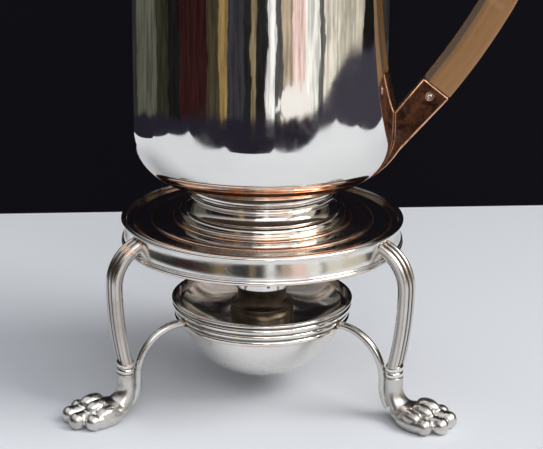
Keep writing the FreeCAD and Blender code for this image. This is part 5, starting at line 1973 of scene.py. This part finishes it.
class COFFEE_OT_stage(bpy.types.Operator):
    """Pale table, dark backdrop, soft light and the camera"""

    bl_idname = "coffee.stage"
    bl_label = "Stage"
    table_sides = (
        (1, 0, 0.55),
        (0.94, 0.34, 0.525),
        (0.8, -0.6, 0.555),
        (0.5, -0.87, 0.50),
        (0, -1, 0.48),
        (-0.5, -0.87, 0.505),
        (-0.92, -0.38, 0.52),
        (-1, 0, 0.50),
        (-0.9, 0.44, 0.455),
    )

    def execute(self, context):
        self.table(context)
        self.backdrop(context)
        self.world(context)
        self.lamps(context)
        self.camera(context)
        context.scene.view_settings.view_transform = "Standard"
        return {"FINISHED"}

    def table(self, context):
        """Pale floor; metal sees only the part that a table top would fill."""
        to_object_mode()
        bpy.ops.mesh.primitive_plane_add(size=8.0)
        floor = added("table_top")
        material, tree, shader, place = new_material("Pale table")
        looks = context.scene.coffee_looks
        soft = mapped(tree, noise(tree, place, 3.0, 2.0), 0.3, 0.7, 0.0, 0.5)
        shade = mixed(tree, soft, rgba(looks.table), rgba([value * 0.96 for value in looks.table]))
        tree.links.new(shade, shader.inputs["Base Color"])
        shader.inputs["Roughness"].default_value = 0.7
        shader.inputs["Specular IOR Level"].default_value = 0.1
        parts = add_node(tree, "ShaderNodeSeparateXYZ", {0: place}).outputs
        beyond = None
        for across, along, reach in self.table_sides:
            way = math_node(tree, "MULTIPLY", parts["X"], across)
            way = math_node(tree, "ADD", way, math_node(tree, "MULTIPLY", parts["Y"], along))
            past = math_node(tree, "GREATER_THAN", way, reach)
            beyond = math_node(tree, "MAXIMUM", beyond, past) if beyond else past
        path = add_node(tree, "ShaderNodeLightPath").outputs
        unseen = math_node(tree, "MULTIPLY", beyond, path["Is Glossy Ray"])
        clear = add_node(tree, "ShaderNodeBsdfTransparent").outputs[0]
        blend = add_node(tree, "ShaderNodeMixShader", {0: unseen, 1: shader.outputs[0], 2: clear})
        tree.links.new(blend.outputs[0], tree.nodes["Material Output"].inputs["Surface"])
        floor.data.materials.append(material)

    def backdrop(self, context):
        """Dark cloth behind the table, seen from the front only."""
        to_object_mode()
        bpy.ops.mesh.primitive_plane_add(size=1.0, rotation=(QUARTER_TURN, 0, 0))
        cloth = added("dark_cloth")
        cloth.scale = (0.64, 4.0, 1.0)
        cloth.location = (0.04, 0.276, 1.99)
        cloth.rotation_euler.z = math.radians(13.9)
        pick(cloth)
        bpy.ops.object.transform_apply(location=True, rotation=True, scale=True)
        material, tree, shader, place = new_material("Dark cloth")
        looks = context.scene.coffee_looks
        shader.inputs["Base Color"].default_value = rgba(looks.backdrop)
        shader.inputs["Roughness"].default_value = 1.0
        shader.inputs["Specular IOR Level"].default_value = 0.0
        back = add_node(tree, "ShaderNodeNewGeometry").outputs["Backfacing"]
        clear = add_node(tree, "ShaderNodeBsdfTransparent").outputs[0]
        blend = add_node(tree, "ShaderNodeMixShader", {0: back, 1: shader.outputs[0], 2: clear})
        tree.links.new(blend.outputs[0], tree.nodes["Material Output"].inputs["Surface"])
        cloth.data.materials.append(material)

    def world(self, context):
        """A dim room with upright pale and dark bands for the metal to reflect."""
        world = bpy.data.worlds.new("Room")
        context.scene.world = world
        world.use_nodes = True
        tree = world.node_tree
        way = add_node(tree, "ShaderNodeTexCoord").outputs["Generated"]
        parts = add_node(tree, "ShaderNodeSeparateXYZ", {0: way}).outputs
        turn = math_node(tree, "ARCTAN2", parts["X"], math_node(tree, "MULTIPLY", parts["Y"], -1.0))
        tall = math_node(tree, "MULTIPLY", parts["Z"], 7.0)
        wall = add_node(tree, "ShaderNodeCombineXYZ", {"X": turn, "Y": tall}).outputs[0]
        swaying = turn
        for scale, reach in ((2.5, 0.14), (12.0, 0.07)):
            sway = math_node(tree, "MULTIPLY", math_node(tree, "SUBTRACT", noise(tree, wall, scale)), reach)
            swaying = math_node(tree, "ADD", swaying, sway)
        share = mapped(tree, swaying, -math.pi, math.pi, kind="LINEAR")
        ramp = add_node(tree, "ShaderNodeValToRGB", {"Fac": share})
        ramp.color_ramp.interpolation = "CONSTANT"
        bands = (
            (-180, (0.03, 0.03, 0.03)),
            (-124, (0.10, 0.10, 0.08)),
            (-92, (0.03, 0.03, 0.02)),
            (-78, (0.01, 0.01, 0.01)),
            (-64, (0.03, 0.01, 0.01)),
            (-38, (0.06, 0.05, 0.03)),
            (-28, (0.30, 0.20, 0.08)),
            (-21, (0.04, 0.04, 0.05)),
            (-6, (0.02, 0.02, 0.02)),
            (0, (0.25, 0.20, 0.12)),
            (4, (0.02, 0.02, 0.02)),
            (12, (0.95, 0.95, 0.95)),
            (19, (0.10, 0.10, 0.10)),
            (24, (0.50, 0.40, 0.30)),
            (33, (0.95, 0.70, 0.65)),
            (45, (0.95, 0.95, 0.90)),
            (57, (0.15, 0.15, 0.15)),
            (61, (0.80, 0.75, 0.65)),
            (76, (0.65, 0.60, 0.50)),
            (101, (0.01, 0.01, 0.01)),
            (114, (0.10, 0.08, 0.05)),
            (128, (0.03, 0.03, 0.03)),
        )
        elements = ramp.color_ramp.elements
        while len(elements) > 1:
            elements.remove(elements[-1])
        for index, (degrees, shade) in enumerate(bands):
            spot = elements[0] if index == 0 else elements.new((degrees + 180) / 360)
            spot.position = (degrees + 180) / 360
            spot.color = rgba(shade)
        wave = math_node(tree, "SUBTRACT", noise(tree, wall, 3.0, 2.0))
        level = math_node(tree, "ADD", parts["Z"], math_node(tree, "MULTIPLY", wave, 0.016))
        rise = mapped(tree, turn, math.radians(46), math.radians(95), 0.0, 0.045)
        level = math_node(tree, "SUBTRACT", level, rise)
        low = mapped(tree, level, -0.234, -0.238)
        right_hand = mapped(tree, turn, math.radians(50), math.radians(62))
        carpet = mixed(tree, right_hand, (0.018, 0.016, 0.026, 1.0), (0.055, 0.050, 0.070, 1.0))
        beside = math_node(tree, "DIVIDE", math_node(tree, "SUBTRACT", turn, math.radians(37)), math.radians(15))
        above = math_node(tree, "DIVIDE", math_node(tree, "SUBTRACT", parts["Z"], -0.225), 0.013)
        away = math_node(tree, "ADD", math_node(tree, "POWER", beside, 2.0), math_node(tree, "POWER", above, 2.0))
        broken = math_node(tree, "MULTIPLY", math_node(tree, "SUBTRACT", noise(tree, wall, 16.0, 4.0)), 3.0)
        glare = mapped(tree, math_node(tree, "ADD", away, broken), 1.1, 0.7)
        upright = math_node(tree, "MULTIPLY", parts["Z"], 1.2)
        thread = add_node(tree, "ShaderNodeCombineXYZ", {"X": turn, "Y": upright}).outputs[0]
        streaks = mapped(tree, noise(tree, thread, 18.0, 4.0, 0.7), 0.36, 0.64, 0.6, 1.25)
        streaky = add_node(tree, "ShaderNodeVectorMath", {0: ramp.outputs["Color"]}, operation="SCALE")
        tree.links.new(streaks, streaky.inputs["Scale"])
        walls = mixed(tree, glare, streaky.outputs[0], (1.0, 0.97, 0.94, 1.0))
        room = mixed(tree, low, walls, carpet)
        high = mapped(tree, parts["Z"], 0.35, 0.85)
        ceiling = mixed(tree, high, room, (0.85, 0.86, 0.88, 1.0))
        path = add_node(tree, "ShaderNodeLightPath").outputs
        seen = mixed(tree, path["Is Camera Ray"], ceiling, (0.010, 0.0095, 0.0125, 1.0))
        background = tree.nodes["Background"]
        tree.links.new(seen, background.inputs["Color"])
        background.inputs["Strength"].default_value = 1.0

    def lamps(self, context):
        for name, place, size, power, shade in (
            ("window_right", (4.2, -0.7, 4.2), 3.4, 235.0, (1.0, 0.98, 0.95)),
            ("fill_front", (2.0, -4.5, 4.0), 5.0, 100.0, (0.95, 0.97, 1.0)),
        ):
            to_object_mode()
            bpy.ops.object.light_add(type="AREA", location=place)
            lamp = bpy.context.active_object
            lamp.name = name
            lamp.data.name = name
            lamp.data.shape = "DISK"
            lamp.data.size = size
            lamp.data.energy = power
            lamp.data.color = shade
            aim = Vector((0, 0, 0.08)) - Vector(place)
            lamp.rotation_euler = aim.to_track_quat("-Z", "Y").to_euler()

    def camera(self, context):
        """Camera fitted to the picture's angle."""
        aim = Vector((3.80, 0.64, 73.5)) * MM
        azimuth = math.radians(9.5)
        pitch = math.radians(17.7)
        roll = math.radians(0.4)
        back = Vector((math.sin(azimuth) * math.cos(pitch), -math.cos(azimuth) * math.cos(pitch), math.sin(pitch)))
        right = Vector((math.cos(azimuth), math.sin(azimuth), 0))
        up = back.cross(right)
        side = right * math.cos(roll) + up * math.sin(roll)
        top = back.cross(side)
        data = bpy.data.cameras.new("camera")
        data.sensor_fit = "HORIZONTAL"
        data.sensor_width = 36.0
        data.lens = 36.0 * 1600.0 / 543.0
        data.clip_start = 0.01
        data.clip_end = 100.0
        camera = bpy.data.objects.new("camera", data)
        context.scene.collection.objects.link(camera)
        matrix = Matrix((side, top, back)).transposed().to_4x4()
        matrix.translation = aim + back * 675.0 * MM
        camera.matrix_world = matrix
        context.scene.camera = camera


OPERATORS = (
    COFFEE_OT_stand_top,
    COFFEE_OT_stand_legs,
    COFFEE_OT_stand_paws,
    COFFEE_OT_lamp_carrier,
    COFFEE_OT_lamp,
    COFFEE_OT_burner,
    COFFEE_OT_snuffer,
    COFFEE_OT_body,
    COFFEE_OT_foot,
    COFFEE_OT_spout,
    COFFEE_OT_handle,
    COFFEE_OT_sockets,
    COFFEE_OT_lid,
    COFFEE_OT_hinge,
    COFFEE_OT_finial,
    COFFEE_OT_stage,
)


class COFFEE_PT_panel(bpy.types.Panel):
    """Pieces of the pot, its stand and its lamp"""

    bl_idname = "COFFEE_PT_panel"
    bl_label = "Coffee pot"
    bl_space_type = "VIEW_3D"
    bl_region_type = "UI"
    bl_category = "Coffee pot"

    def draw(self, context):
        for operator in OPERATORS:
            self.layout.operator(operator.bl_idname)


PROPERTY_GROUPS = {
    "coffee_stand": CoffeeStandSizes,
    "coffee_lamp": CoffeeLampSizes,
    "coffee_pot": CoffeePotSizes,
    "coffee_looks": CoffeeLooks,
}


def register():
    for name, group in PROPERTY_GROUPS.items():
        bpy.utils.register_class(group)
        setattr(bpy.types.Scene, name, bpy.props.PointerProperty(type=group))
    for cls in (*OPERATORS, COFFEE_PT_panel):
        bpy.utils.register_class(cls)


def unregister():
    for cls in (COFFEE_PT_panel, *reversed(OPERATORS)):
        bpy.utils.unregister_class(cls)
    for name, group in PROPERTY_GROUPS.items():
        delattr(bpy.types.Scene, name)
        bpy.utils.unregister_class(group)


def main():
    register()
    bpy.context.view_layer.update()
    bpy.ops.coffee.stand_top()
    bpy.ops.coffee.stand_legs()
    bpy.ops.coffee.stand_paws()
    bpy.ops.coffee.lamp_carrier()
    bpy.ops.coffee.lamp()
    bpy.ops.coffee.burner()
    bpy.ops.coffee.snuffer()
    bpy.ops.coffee.body()
    bpy.ops.coffee.foot()
    bpy.ops.coffee.spout()
    bpy.ops.coffee.handle()
    bpy.ops.coffee.sockets()
    bpy.ops.coffee.lid()
    bpy.ops.coffee.hinge()
    bpy.ops.coffee.finial()
    bpy.ops.coffee.stage()


if __name__ == "__main__":
    main()
